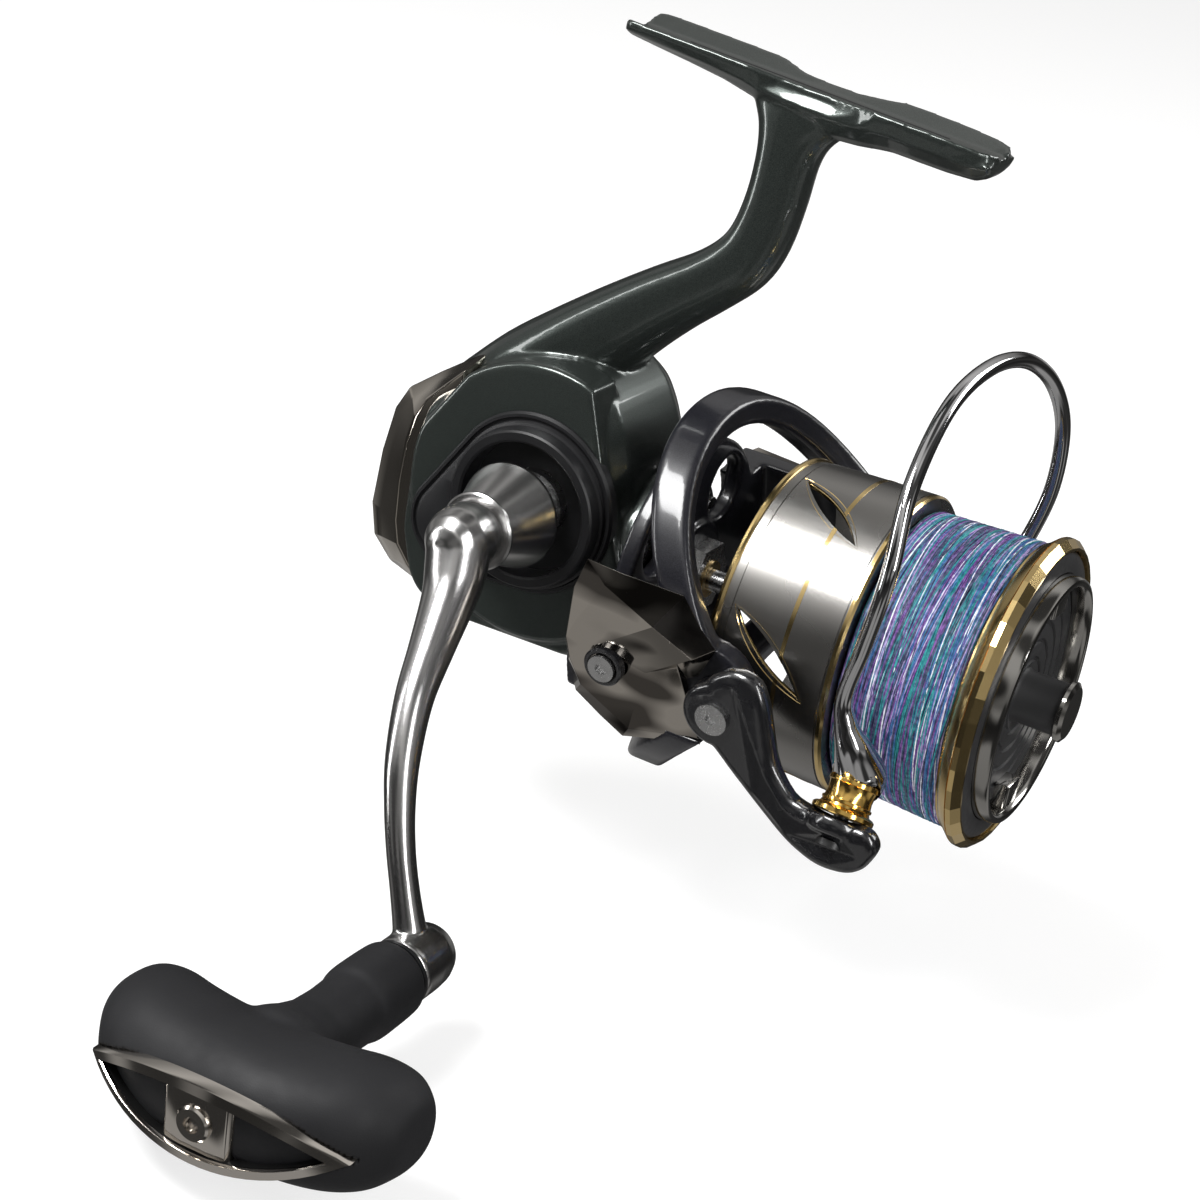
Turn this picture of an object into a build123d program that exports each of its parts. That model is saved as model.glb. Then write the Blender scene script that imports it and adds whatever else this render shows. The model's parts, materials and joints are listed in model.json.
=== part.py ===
"""Spinning reel, foot up, as a set of separate named solids.

Row frame, millimetres: origin at the centre of the foot's seat, +X forward
along the spool axis, +Z up to the rod, handle on the -Y side.
"""
from build123d import *
import math
import os

os.makedirs("parts", exist_ok=True)

# ---- main axes -------------------------------------------------------------
SPOOL_Z = -83.0            # spool axis below the seat
HUB_X, HUB_Z = -27.5, -73.8   # handle axis
ROTOR_TURN = 11.0          # near rotor arm below the -Y direction, degrees
FOOT_TILT = 4.5            # seat against the spool axis, degrees
HANDLE_TURN = -20.6        # handle arm forward of straight down, degrees

# ---- foot and stem ---------------------------------------------------------
FOOT_LEN = 63.0
FOOT_HALF_W = 6.6
SEAT_FLAT = 1.6            # half width of the flat strip along the seat
SEAT_RISE = 1.3            # height of the seat's edges above the strip

# ---- body ------------------------------------------------------------------
BODY_FRONT = -12.0
BODY_NEAR = -17.0
BODY_FAR = 14.5
NOSE_R = 16.4
NOSE_FRONT = -10.3
PLATE_TOP = -19.0          # outer face of the side plate
PLATE_COLLAR_R, PLATE_HOLE_R = 13.6, 11.3

# ---- drive train -----------------------------------------------------------
PINION_TEETH, DRIVE_TEETH = 10, 52
SHAFT_R = 1.9
SHAFT_FIT = 0.06
PINION_TUBE_R = 3.2
PINION_TIP_R = 4.3
DRIVE_SHAFT_R = 3.5
DRIVE_GEAR_R = 10.2
CASE_R = 15.5
CASE_FLOOR = -93.6

# ---- rotor -----------------------------------------------------------------
DISC_R = 23.0
DISC_X0, DISC_X1 = -8.5, -5.5
WINDOW_R, WINDOW_AT = 5.6, 15.4
ARM_IN, ARM_OUT = 26.7, 30.4
ARCH_IN, ARCH_OUT = 27.2, 32.0
ARCH_W = 7.0
PIVOT_X = 17.5

# ---- spool -----------------------------------------------------------------
SKIRT_X0, SKIRT_X1 = 10.0, 31.3
SKIRT_R0, SKIRT_R1 = 24.7, 25.4
LIP_X = 55.4
LIP_R = 25.9
ARBOR_R = 18.0
LINE_R0, LINE_R1 = 23.2, 24.0
LINE_X0, LINE_X1 = 32.0, 50.8

# ---- drag knob -------------------------------------------------------------
KNOB_R = 24.0
TRIM_R = 20.6
TRIM_X = 57.9
BOSS_R = 4.3

# ---- handle ----------------------------------------------------------------
CONE_R, CONE_Y = 8.7, -23.9
FLANGE_R, FLANGE_Y = 6.4, -35.0
ARM_LEN = 57.6
ARM_END_Y = -75.0
GRIP_Y0 = -75.9            # grip starts
GRIP_R = 6.0
BAR_HALF_Z = 9.6
BAR_MID_Y = -112.5
BAR_HALF_Y = 12.5
FACE_Y = -125.0
FACE_R = 40.0


# ---- helpers ---------------------------------------------------------------
def save(name, *solids):
    """Write one node; several solids stay separate in one file."""
    shape = solids[0] if len(solids) == 1 else Compound(children=list(solids))
    export_step(shape, os.path.join("parts", name + ".step"))


def on_spool(shape):
    """From a frame centred on the spool axis to the row frame."""
    return Pos(0, 0, SPOOL_Z) * shape


def on_rotor(shape):
    """From the rotor's own frame (near arm along -Y) to the row frame."""
    return Pos(0, 0, SPOOL_Z) * Rot(ROTOR_TURN, 0, 0) * shape


def on_hub(shape):
    """From a frame centred on the handle axis to the row frame."""
    return Pos(HUB_X, 0, HUB_Z) * shape


def on_handle(shape):
    """From the handle's own frame (arm along -Z) to the row frame."""
    return Pos(HUB_X, 0, HUB_Z) * Rot(0, HANDLE_TURN, 0) * shape


def rev_x(pts):
    """Turned solid about X from (x, r) points."""
    return revolve(make_face(Polyline(*[(x, 0, r) for x, r in pts], close=True)), Axis.X, 360)


def rev_y(pts):
    """Turned solid about Y from (y, r) points."""
    return revolve(make_face(Polyline(*[(r, y, 0) for y, r in pts], close=True)), Axis.Y, 360)


def cyl_x(r, x0, x1, y=0.0, z=0.0):
    return Pos((x0 + x1) / 2, y, z) * Rot(0, 90, 0) * Cylinder(r, abs(x1 - x0))


def cyl_y(r, y0, y1, x=0.0, z=0.0):
    return Pos(x, (y0 + y1) / 2, z) * Rot(90, 0, 0) * Cylinder(r, abs(y1 - y0))


def tube_x(r0, r1, x0, x1):
    return cyl_x(r1, x0, x1) - cyl_x(r0, x0 - 1, x1 + 1)


def tube_y(r0, r1, y0, y1):
    return cyl_y(r1, y0, y1) - cyl_y(r0, y0 - 1, y1 + 1)


def prism_y(pts, y0, y1, round_r=0.0):
    """Prism along Y from (x, z) points, corners rounded by round_r."""
    face = make_face(Polyline(*[(x, z) for x, z in pts], close=True))
    if round_r:
        face = fillet(face.vertices(), round_r)
    face = Plane(origin=(0, y0, 0), x_dir=(1, 0, 0), z_dir=(0, -1, 0)) * face
    return extrude(face, amount=y1 - y0, dir=(0, 1, 0))


def ellipse_at(x, z, a, b, tx, tz):
    """Ellipse across a path in the XZ plane: a across the path, b along Y."""
    plane = Plane(origin=(x, 0, z), x_dir=(0, 1, 0), z_dir=(tx, 0, tz))
    return plane * make_face(Ellipse(b, a))


# ---- frame -----------------------------------------------------------------
def foot_section(x, half, t):
    """Cross-section of the foot: hollow seat above, shallow keel below."""
    pts = [(-half, SEAT_RISE), (-SEAT_FLAT, 0), (SEAT_FLAT, 0), (half, SEAT_RISE)]
    pts += [(half - 0.4, SEAT_RISE - 1.3), (half * 0.45, -t), (-half * 0.45, -t), (-half + 0.4, SEAT_RISE - 1.3)]
    plane = Plane(origin=(x, 0, 0), x_dir=(0, 1, 0), z_dir=(1, 0, 0))
    return plane * make_face(Polyline(*pts, close=True))


def foot():
    h = FOOT_LEN / 2
    stations = [(-h, 5.2, 1.7), (-h + 2.0, FOOT_HALF_W, 2.0), (-8, FOOT_HALF_W, 4.0)]
    stations += [(9, FOOT_HALF_W, 4.2), (h - 3.0, FOOT_HALF_W - 0.6, 2.3), (h, 4.0, 1.8)]
    blade = loft([foot_section(*s) for s in stations], ruled=True)
    for side in (-1, 1):
        cut = Polyline((-8.5, 7.6), (-3.5, 4.2), (6.5, 4.2), (12.5, 7.6), close=True)
        blade -= extrude(mirror_y(make_face(cut), side), amount=4, both=True)
    return Rot(0, FOOT_TILT, 0) * blade


def mirror_y(face, side):
    return face if side > 0 else mirror(face, about=Plane.XZ)


def stem():
    """Leg from the foot to the body."""
    rows = [(-0.6, -2.0, 8.6, 4.4, 0, -1), (-0.9, -4.2, 8.2, 4.8, -0.05, -1), (-2.4, -11.5, 4.75, 4.9, -0.05, -1)]
    rows += [(-2.9, -18.0, 4.55, 5.0, -0.1, -1), (-4.2, -24.6, 4.7, 5.3, -0.3, -1), (-6.6, -29.4, 5.0, 5.7, -0.65, -0.85)]
    rows += [(-17.6, -38.9, 5.9, 7.2, -0.78, -0.65), (-24.6, -45.0, 6.9, 8.6, -0.74, -0.67)]
    rows += [(-31.2, -51.6, 8.2, 10.4, -0.74, -0.67), (-38.0, -58.6, 9.6, 11.8, -0.72, -0.7)]
    return loft([ellipse_at(*r) for r in rows])


CASE_PROFILE = [(-50.2, -61.5), (-43.5, -56.0), (-34.0, -51.4)]
CASE_PROFILE += [(-26.5, -50.0), (-22.4, -51.2), (-18.8, -54.4)]
CASE_PROFILE += [(-15.8, -59.4), (-13.2, -65.4), (-12.2, -72.0), (-12.0, -97.4)]
CASE_PROFILE += [(-14.0, -99.6), (-43.5, -100.4), (-48.6, -97.6), (-50.4, -94.5), (-52.3, -86.0), (-52.3, -71.0)]
FACE_PROFILE = [(-49.4, -63.8), (-44.0, -59.8), (-36.0, -55.4), (-28.0, -53.4), (-24.5, -53.4)]
FACE_PROFILE += [(-21.2, -55.2), (-18.6, -59.0), (-16.4, -64.6), (-14.8, -71.6), (-14.8, -94.8)]
FACE_PROFILE += [(-17.4, -97.4), (-42.6, -98.2), (-46.8, -95.8), (-48.6, -93.4), (-51.0, -86.0), (-51.0, -72.0)]
EGG_BIG = (-27.5, -73.4, 15.3)
EGG_SMALL = (-41.3, -81.6, 8.0)


def profile_at(pts, y):
    """Face in the XZ plane at height y from (x, z) points."""
    face = make_face(Polyline(*pts, close=True))
    return Plane(origin=(0, y, 0), x_dir=(1, 0, 0), z_dir=(0, -1, 0)) * face


def egg(shrink, y0, y1):
    """Prism round the handle axis with a smaller rear corner."""
    rounds = [Pos(x, z) * Circle(r - shrink) for x, z, r in (EGG_BIG, EGG_SMALL)]
    face = make_hull([e for c in rounds for e in c.edges()])
    face = Plane(origin=(0, y0, 0), x_dir=(1, 0, 0), z_dir=(0, -1, 0)) * face
    return extrude(face, amount=y1 - y0, dir=(0, 1, 0))


def body_block():
    """Full-height middle with sloping shoulders down to narrower flanks."""
    y_near, y_far = BODY_NEAR + SHOULDER, BODY_FAR - SHOULDER
    mid = prism_y(CASE_PROFILE, y_near, y_far)
    near = loft([profile_at(CASE_PROFILE, y_near), profile_at(FACE_PROFILE, BODY_NEAR)], ruled=True)
    far = loft([profile_at(CASE_PROFILE, y_far), profile_at(FACE_PROFILE, BODY_FAR)], ruled=True)
    return mid + near + far


def raised_field():
    """Round field the side plate sits in, cut off at the front and the rear seam."""
    disc = on_hub(cyl_y(FIELD_R, BODY_NEAR - 0.8, BODY_NEAR + 4))
    return disc & box(-50.7, -14.6, -30, 0, -96.9, -45)


def frame_housing():
    """One-piece foot, leg and body, hollow for the gears."""
    block = body_block() + raised_field() + stem() + foot()
    block += on_spool(cyl_x(NOSE_R, BODY_FRONT - 6, NOSE_FRONT))
    cavity = on_hub(cyl_y(CASE_R, BODY_NEAR + 1.2, 9.5))
    block -= cavity & box(-60, BODY_FRONT - 2.5, -20, 20, CASE_FLOOR, SPOOL_Z + 30)
    block -= box(CASE_REAR, -20, -9.6, 9.5, CASE_FLOOR, SPOOL_Z + 12.0)
    block -= egg(2.2, BODY_NEAR - 3, BODY_NEAR + 3) + egg(0, BODY_NEAR - 3, BODY_NEAR)
    block -= on_spool(cyl_x(CLUTCH_R, CLUTCH_X0, 0) + cyl_x(PINION_BRG_R, PINION_BRG_X0, 0))
    block -= on_spool(cyl_x(PINION_TIP_R + 0.6, -24, -16) + cyl_x(SHAFT_R + 0.3, -54, 0))
    block -= on_hub(cyl_y(DRIVE_BRG_R, 0, DRIVE_FAR_Y1))
    block -= pocket_holes()
    return block


def pocket_holes():
    """Blind holes for the fixed pins and screws in the frame."""
    holes = on_hub_pt(cyl_y(OSC_PIN_R, OSC_Y1, OSC_PIN_Y1), *OSC_AT)
    for y in GUIDE_Y:
        holes += cyl_x(GUIDE_R, GUIDE_X0, GUIDE_X1, y, GUIDE_Z)
    for a in RETAINER_ANGLES:
        holes += on_spool(Rot(a, 0, 0) * cyl_x(RET_SCREW_R, NOSE_FRONT - 4.0, 0, RET_SCREW_AT, 0))
    holes += cyl_x(GUARD_SCREW_R, -53.5, -50.0, 0, GUARD_SCREW_Z)
    return holes


def on_hub_pt(shape, x, z):
    return Pos(x, 0, z) * shape


def box(x0, x1, y0, y1, z0, z1):
    size = (x1 - x0, y1 - y0, z1 - z0)
    return Pos((x0 + x1) / 2, (y0 + y1) / 2, (z0 + z1) / 2) * Box(*size)


SHOULDER = 5.5
FIELD_R = 23.5
CLUTCH_R, CLUTCH_X0, CLUTCH_X1 = 12.4, -14.7, -10.6
PINION_BRG_R, PINION_BRG_X0 = 6.6, -17.5
CASE_REAR = -50.2
DRIVE_BRG_R = 6.0
DRIVE_FAR_Y0, DRIVE_FAR_Y1 = 9.6, 12.9
DRIVE_NEAR_Y0, DRIVE_NEAR_Y1 = -18.6, -15.4
OSC_AT = (-40.9, -81.2)
OSC_R, OSC_PIN_R = 9.0, 1.5
OSC_Y0, OSC_Y1, OSC_PIN_Y1 = 6.6, 8.6, 12.5
GUIDE_Y, GUIDE_Z, GUIDE_R = (-4.2, 4.2), -90.9, 1.0
GUIDE_X0, GUIDE_X1 = -50.9, -18.6
RETAINER_ANGLES = (30, 150, 270)
RET_SCREW_R, RET_SCREW_AT = 0.9, 14.4
GUARD_SCREW_R, GUARD_SCREW_Z, GUARD_HEAD_X = 1.2, -68.6, -58.6


def side_plate():
    """Cover that closes the gear case, with the collar round the handle cone."""
    plate = egg(0, PLATE_TOP, BODY_NEAR) + egg(2.25, BODY_NEAR, BODY_NEAR + 1.1)
    plate += on_hub(cyl_y(PLATE_COLLAR_R, PLATE_TOP - 2.4, PLATE_TOP))
    plate += on_hub(cyl_y(DRIVE_BRG_R + 1.6, DRIVE_NEAR_Y0, DRIVE_NEAR_Y1 + 0.9))
    plate -= on_hub(cyl_y(PLATE_HOLE_R, PLATE_TOP - 3, PLATE_TOP + 0.2))
    plate -= on_hub(cyl_y(DRIVE_BRG_R, PLATE_TOP - 3, DRIVE_NEAR_Y1))
    plate -= on_hub(cyl_y(DRIVE_SHAFT_R + 0.6, -20, 0))
    return plate


GUARD_OUT = [(-44.6, -54.6), (-48.0, -57.0), (-53.2, -60.9), (-58.8, -65.4), (-61.0, -69.8), (-62.4, -78.0)]
GUARD_OUT += [(-63.0, -88.0), (-61.7, -93.6), (-57.8, -97.3), (-49.6, -99.7), (-44.2, -100.8)]
GUARD_RIM = [(-44.9, -56.6), (-47.6, -59.6), (-51.4, -63.9), (-52.9, -67.2), (-53.7, -72.0), (-54.0, -79.4)]
GUARD_RIM += [(-53.6, -86.4), (-52.6, -90.4), (-50.2, -93.4), (-47.2, -96.0), (-44.6, -97.6)]
GUARD_SEAT = [(-44.0, -84.0), (-44.0, -70.0)]
GUARD_STEPS = [(-14.3, 1.0), (-10.6, 0.36), (-8.2, 0.0), (5.7, 0.0), (8.1, 0.36), (11.8, 1.0)]


def rear_guard():
    """Bright cap round the back of the body, a hollow shell."""
    faces = []
    for y, mix in GUARD_STEPS:
        pts = [(a[0] * (1 - mix) + b[0] * mix, a[1] * (1 - mix) + b[1] * mix) for a, b in zip(GUARD_OUT, GUARD_RIM)]
        faces.append(profile_at(pts + GUARD_SEAT, y))
    cap = loft(faces, ruled=True)
    hollow = [(-51.6, -72.0), (-57.2, -72.0), (-58.9, -74.0), (-60.6, -80.0), (-61.2, -88.0), (-60.2, -92.6)]
    hollow += [(-57.0, -95.2), (-51.6, -95.2)]
    cap -= prism_y(hollow, -9.6, 7.2)
    cap -= cyl_x(GUARD_SCREW_R, -70, -40, 0, GUARD_SCREW_Z) + cyl_x(2.3, -70, GUARD_HEAD_X, 0, GUARD_SCREW_Z)
    return cap - body_block() - stem()


def guard_screw():
    shank = cyl_x(GUARD_SCREW_R, GUARD_HEAD_X, -50.9, 0, GUARD_SCREW_Z)
    head = cyl_x(2.2, GUARD_HEAD_X - 0.9, GUARD_HEAD_X, 0, GUARD_SCREW_Z)
    return head + shank - cyl_x(0.8, -63, GUARD_HEAD_X - 0.4, 0, GUARD_SCREW_Z)


def bearing_y(y0, y1, r_in, r_out):
    """Ball bearing as one stepped ring across Y."""
    mid = (r_in + r_out) / 2
    groove = tube_y(mid - 0.7, mid + 0.7, y0 - 1, y0 + 0.25) + tube_y(mid - 0.7, mid + 0.7, y1 - 0.25, y1 + 1)
    return tube_y(r_in, r_out, y0, y1) - groove


def bearing_x(x0, x1, r_in, r_out):
    """Ball bearing as one stepped ring across X."""
    mid = (r_in + r_out) / 2
    groove = tube_x(mid - 0.7, mid + 0.7, x0 - 1, x0 + 0.25) + tube_x(mid - 0.7, mid + 0.7, x1 - 0.25, x1 + 1)
    return tube_x(r_in, r_out, x0, x1) - groove


def retainer():
    """Ring screwed to the nose that keeps the clutch in."""
    ring = tube_x(7.0, NOSE_R - 0.4, NOSE_FRONT, NOSE_FRONT + 0.9)
    for a in RETAINER_ANGLES:
        ring -= Rot(a, 0, 0) * cyl_x(RET_SCREW_R, -20, 0, RET_SCREW_AT, 0)
    return on_spool(ring)


def retainer_screws():
    shank = cyl_x(RET_SCREW_R, NOSE_FRONT - 3.5, NOSE_FRONT + 0.9, RET_SCREW_AT, 0)
    head = cyl_x(1.6, NOSE_FRONT + 0.9, NOSE_FRONT + 1.4, RET_SCREW_AT, 0)
    return [on_spool(Rot(a, 0, 0) * (shank + head)) for a in RETAINER_ANGLES]


def build_frame():
    save("frame_housing", frame_housing())
    save("side_plate", side_plate())
    save("rear_guard", rear_guard())
    save("guard_screw", guard_screw())
    inner = DRIVE_SHAFT_R + SHAFT_FIT
    save("drive_bearing_near", on_hub(bearing_y(DRIVE_NEAR_Y0, DRIVE_NEAR_Y1, inner, DRIVE_BRG_R)))
    save("drive_bearing_far", on_hub(bearing_y(DRIVE_FAR_Y0, DRIVE_FAR_Y1, inner, DRIVE_BRG_R)))
    inner = PINION_TUBE_R + SHAFT_FIT
    save("pinion_bearing", on_spool(bearing_x(PINION_BRG_X0, CLUTCH_X0, inner, PINION_BRG_R)))
    save("oneway_clutch", on_spool(tube_x(SLEEVE_R + SHAFT_FIT, CLUTCH_R, CLUTCH_X0, CLUTCH_X1)))
    save("nose_retainer", retainer())
    save("retainer_screws", *retainer_screws())
    save("guide_rods", *[cyl_x(GUIDE_R, GUIDE_X0, GUIDE_X1, y, GUIDE_Z) for y in GUIDE_Y])
    save("osc_pin", Pos(OSC_AT[0], 0, OSC_AT[1]) * cyl_y(OSC_PIN_R, OSC_Y0 - 0.2, OSC_PIN_Y1))


# ---- drive: handle, gears --------------------------------------------------
SLEEVE_R = 5.0
GEAR_Y0, GEAR_Y1, GEAR_FACE_Y = -10.6, -6.2, -4.65


def drive_gear():
    """Face gear on the drive shaft, teeth towards the pinion."""
    gear = rev_y([(GEAR_Y0, DRIVE_SHAFT_R), (GEAR_Y1, DRIVE_SHAFT_R), (GEAR_Y1, DRIVE_GEAR_R), (GEAR_Y0 + 1.2, DRIVE_GEAR_R),
                  (GEAR_Y0 + 1.2, 6.0), (GEAR_Y0, 6.0)])
    tooth = Pos(8.85, (GEAR_Y1 + GEAR_FACE_Y - 0.1) / 2, 0) * Box(2.5, GEAR_FACE_Y - GEAR_Y1 + 0.1, 0.6)
    teeth = [Rot(0, 360.0 * i / DRIVE_TEETH, 0) * tooth for i in range(DRIVE_TEETH)]
    return on_hub(gear + teeth)


def drive_shaft():
    """Shaft from the far bearing to the handle cone, with the small idler pinion."""
    shaft = cyl_y(DRIVE_SHAFT_R, CONE_Y, DRIVE_FAR_Y1 - 0.1)
    return on_hub(shaft)


def osc_drive():
    """Small gear on the drive shaft for the oscillation gear."""
    ring = tube_y(DRIVE_SHAFT_R, 4.6, OSC_Y0, OSC_Y1)
    tooth = Pos(4.9, (OSC_Y0 + OSC_Y1) / 2, 0) * Box(1.1, OSC_Y1 - OSC_Y0, 1.0)
    return on_hub(ring + [Rot(0, 360.0 * i / 13, 0) * tooth for i in range(13)])


def osc_gear():
    """Idler gear whose crank pin drives the slider."""
    ring = tube_y(OSC_PIN_R + SHAFT_FIT, OSC_R - 0.9, OSC_Y0, OSC_Y1)
    tooth = Pos(OSC_R - 0.7, (OSC_Y0 + OSC_Y1) / 2, 0) * Box(1.3, OSC_Y1 - OSC_Y0, 0.9)
    gear = ring + [Rot(0, 360.0 * i / 20, 0) * tooth for i in range(26)]
    turn = math.acos((sum(SLIDER_X) / 2 - OSC_AT[0]) / STROKE)
    gear += cyl_y(0.9, OSC_Y0 - 1.0, OSC_Y0, STROKE * math.cos(turn), STROKE * math.sin(turn))
    return Pos(OSC_AT[0], 0, OSC_AT[1]) * gear


def handle_cone():
    """Polished skirt between the body and the arm."""
    pts = [(CONE_Y, DRIVE_SHAFT_R), (CONE_Y, CONE_R - 0.3), (CONE_Y - 0.4, CONE_R), (CONE_Y - 1.0, CONE_R)]
    pts += [(CONE_Y - 9.6, 5.5), (FLANGE_Y + 1.2, 5.4), (FLANGE_Y + 1.1, FLANGE_R - 0.2)]
    pts += [(FLANGE_Y + 0.7, FLANGE_R), (FLANGE_Y + 0.3, FLANGE_R), (FLANGE_Y, FLANGE_R - 0.3)]
    pts += [(FLANGE_Y, 0.0), (CONE_Y - 1.0, 0.0), (CONE_Y - 1.0, DRIVE_SHAFT_R)]
    return on_handle(rev_y(pts))


ARM_STATIONS = [(3.0, -40.2, 5.0), (8.2, -45.6, 4.3), (14.1, -52.4, 3.55)]
ARM_STATIONS += [(19.8, -58.8, 3.05), (27.4, -64.2, 2.72)]
ARM_STATIONS += [(40.3, -68.6, 2.28), (52.4, -69.9, 2.6)]


def handle_arm():
    """Solid arm: ball root, tapering round bar, domed end boss."""
    pts = [(0, y, -a) for a, y, _ in ARM_STATIONS]
    sections = []
    for i, (a, y, r) in enumerate(ARM_STATIONS):
        plane = Plane(origin=(0, y, -a), x_dir=(1, 0, 0), z_dir=tuple(chord(pts, i)))
        sections.append(plane * make_face(CenterArc((0, 0), r, 0, 360)))
    arm = loft(sections)
    root = rev_y([(FLANGE_Y, 0.0), (FLANGE_Y, 4.6), (-36.4, 5.1), (-38.2, 5.2), (-40.4, 4.8), (-42.6, 3.6), (-43.8, 1.8), (-44.2, 0.0)])
    end = rev_y([(-62.6, 0.0), (-62.9, 1.8), (-64.0, 3.6), (-65.8, 4.9), (-68.2, 5.4), (ARM_END_Y, 5.4), (ARM_END_Y, 0.0)])
    return on_handle(arm + root + Pos(0, 0, -ARM_LEN) * end)


def chord(pts, i):
    a, b = pts[max(i - 1, 0)], pts[min(i + 1, len(pts) - 1)]
    return Vector(b[0] - a[0], b[1] - a[1], b[2] - a[2]).normalized()


# ---- grip on the handle's end ----------------------------------------------
SPINDLE_R = 2.0
SPINDLE_END_Y = -112.4
GRIP_SCREW_R = 1.1
CAP_BACK_Y = -116.1
GRIP_BRG_R = 3.5
GRIP_TURN = 18.0           # the bar's turn against the handle's frame, degrees
CAP_HALF, CAP_HALF_Z = 21.3, 6.2


def on_grip(shape):
    """From the grip's frame (axis along Y, bar along X) to the row frame."""
    return on_handle(Pos(0, 0, -ARM_LEN) * Rot(0, GRIP_TURN, 0) * shape)


def spindle():
    """Pin the grip turns on, riveted into the arm's boss."""
    pin = cyl_y(SPINDLE_R, SPINDLE_END_Y, ARM_END_Y) - cyl_y(GRIP_SCREW_R, SPINDLE_END_Y, SPINDLE_END_Y + 6)
    return on_handle(Pos(0, 0, -ARM_LEN) * pin)


def grip_washer():
    return on_handle(Pos(0, 0, -ARM_LEN) * tube_y(SPINDLE_R, 5.5, ARM_END_Y - 0.7, ARM_END_Y))


def bar_section(x, y, b, c):
    plane = Plane(origin=(x, y, 0), x_dir=(0, 1, 0), z_dir=(1, 0, 0))
    return plane * make_face(Ellipse(b, c))


def bar_blank():
    """Cross bar of the grip before its outer face is cut."""
    half = [(0.0, BAR_MID_Y, BAR_HALF_Y, BAR_HALF_Z), (9.0, -112.0, 12.0, 9.5), (16.0, -111.2, 11.2, 9.0)]
    half += [(21.0, -110.6, 9.7, 8.0), (24.0, -110.2, 7.0, 6.0), (25.3, -110.0, 3.4, 3.0)]
    rows = [(-x, y, b, c) for x, y, b, c in half[:0:-1]] + half
    return loft([bar_section(*r) for r in rows])


def outer_face():
    """Everything outside the bar's gently curved outer face."""
    round_face = Pos(0, FACE_Y + FACE_R, 0) * Cylinder(FACE_R, 60)
    return box(-40, 40, -150, -105, -25, 25) - round_face


def lens(half, high, y0, y1):
    """Pointed oval prism along Y."""
    face = make_face([ThreePointArc((-half, 0), (0, high), (half, 0)), ThreePointArc((half, 0), (0, -high), (-half, 0))])
    face = Plane(origin=(0, y0, 0), x_dir=(1, 0, 0), z_dir=(0, -1, 0)) * face
    return extrude(face, amount=y1 - y0, dir=(0, 1, 0))


def grip_rubber():
    """T-shaped rubber grip."""
    stem_pts = [(GRIP_Y0, 0.0), (GRIP_Y0, 5.6), (GRIP_Y0 - 0.5, GRIP_R)]
    stem_pts += [(-84.0, 6.3), (-86.5, 6.2), (-88.5, 5.9)]
    stem_pts += [(-96.0, 6.6), (-104.0, 8.8), (-112.0, 9.0), (-112.0, 0.0)]
    grip = rev_y(stem_pts) + bar_blank() - outer_face()
    grip -= lens(CAP_HALF, CAP_HALF_Z, -130, CAP_BACK_Y)
    grip -= cyl_y(SPINDLE_R + 0.4, CAP_BACK_Y, GRIP_Y0 + 1)
    grip -= cyl_y(GRIP_BRG_R, GRIP_Y0 - 3.0, GRIP_Y0 + 1) + cyl_y(GRIP_BRG_R, CAP_BACK_Y - 1, SPINDLE_END_Y + 3.0)
    return on_grip(grip)


def grip_cap():
    """Bright frame let into the grip's outer face, with two open pockets."""
    cap = lens(CAP_HALF - 0.05, CAP_HALF_Z - 0.03, -130, CAP_BACK_Y) & (bar_blank() - outer_face())
    pocket = lens(CAP_HALF - 3.4, CAP_HALF_Z - 1.5, -130, CAP_BACK_Y - 1.2) - box(-4.6, 4.6, -140, -110, -10, 10)
    cap -= pocket
    cap -= cyl_y(1.2, -130, FACE_Y + 4.0)
    return on_grip(cap)


def grip_screw():
    head = cyl_y(2.9, SPINDLE_END_Y - 1.4, SPINDLE_END_Y) - cyl_y(0.9, -120, SPINDLE_END_Y - 0.6)
    return on_handle(Pos(0, 0, -ARM_LEN) * (head + cyl_y(GRIP_SCREW_R, SPINDLE_END_Y, SPINDLE_END_Y + 5)))


def grip_bearings():
    inner = SPINDLE_R + 0.04
    near = bearing_y(GRIP_Y0 - 3.0, GRIP_Y0 - 0.2, inner, GRIP_BRG_R)
    far = bearing_y(SPINDLE_END_Y + 0.1, SPINDLE_END_Y + 2.9, inner, GRIP_BRG_R)
    return [on_grip(near), on_grip(far)]


def build_handle():
    save("drive_gear", drive_gear())
    save("drive_shaft", drive_shaft())
    save("osc_drive_gear", osc_drive())
    save("osc_gear", osc_gear())
    save("handle_cone", handle_cone())
    save("handle_arm", handle_arm())
    save("grip_spindle", spindle())
    save("grip_washer", grip_washer())
    save("grip_rubber", grip_rubber())
    save("grip_cap", grip_cap())
    save("grip_screw", grip_screw())
    save("grip_bearings", *grip_bearings())


# ---- rotor -----------------------------------------------------------------
ARM_HALF = 8.5             # half width of a rotor arm
ARM_X0, ARM_X1 = -11.0, 23.0


def arm_outline(sign, half, nose):
    """Plan of an arm seen along Y: straight sides, round front end."""
    pts = [(ARM_X0, -half), (PIVOT_X - 4, -half), (PIVOT_X - 4, half), (ARM_X0, half)]
    plan = make_face(Polyline(*pts, close=True)) + Pos(PIVOT_X - 4, 0) * Circle(half)
    plan = Plane(origin=(0, 0, 0), x_dir=(1, 0, 0), z_dir=(0, -1, 0)) * plan
    return extrude(plan, amount=nose * sign, dir=(0, 1, 0))


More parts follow.
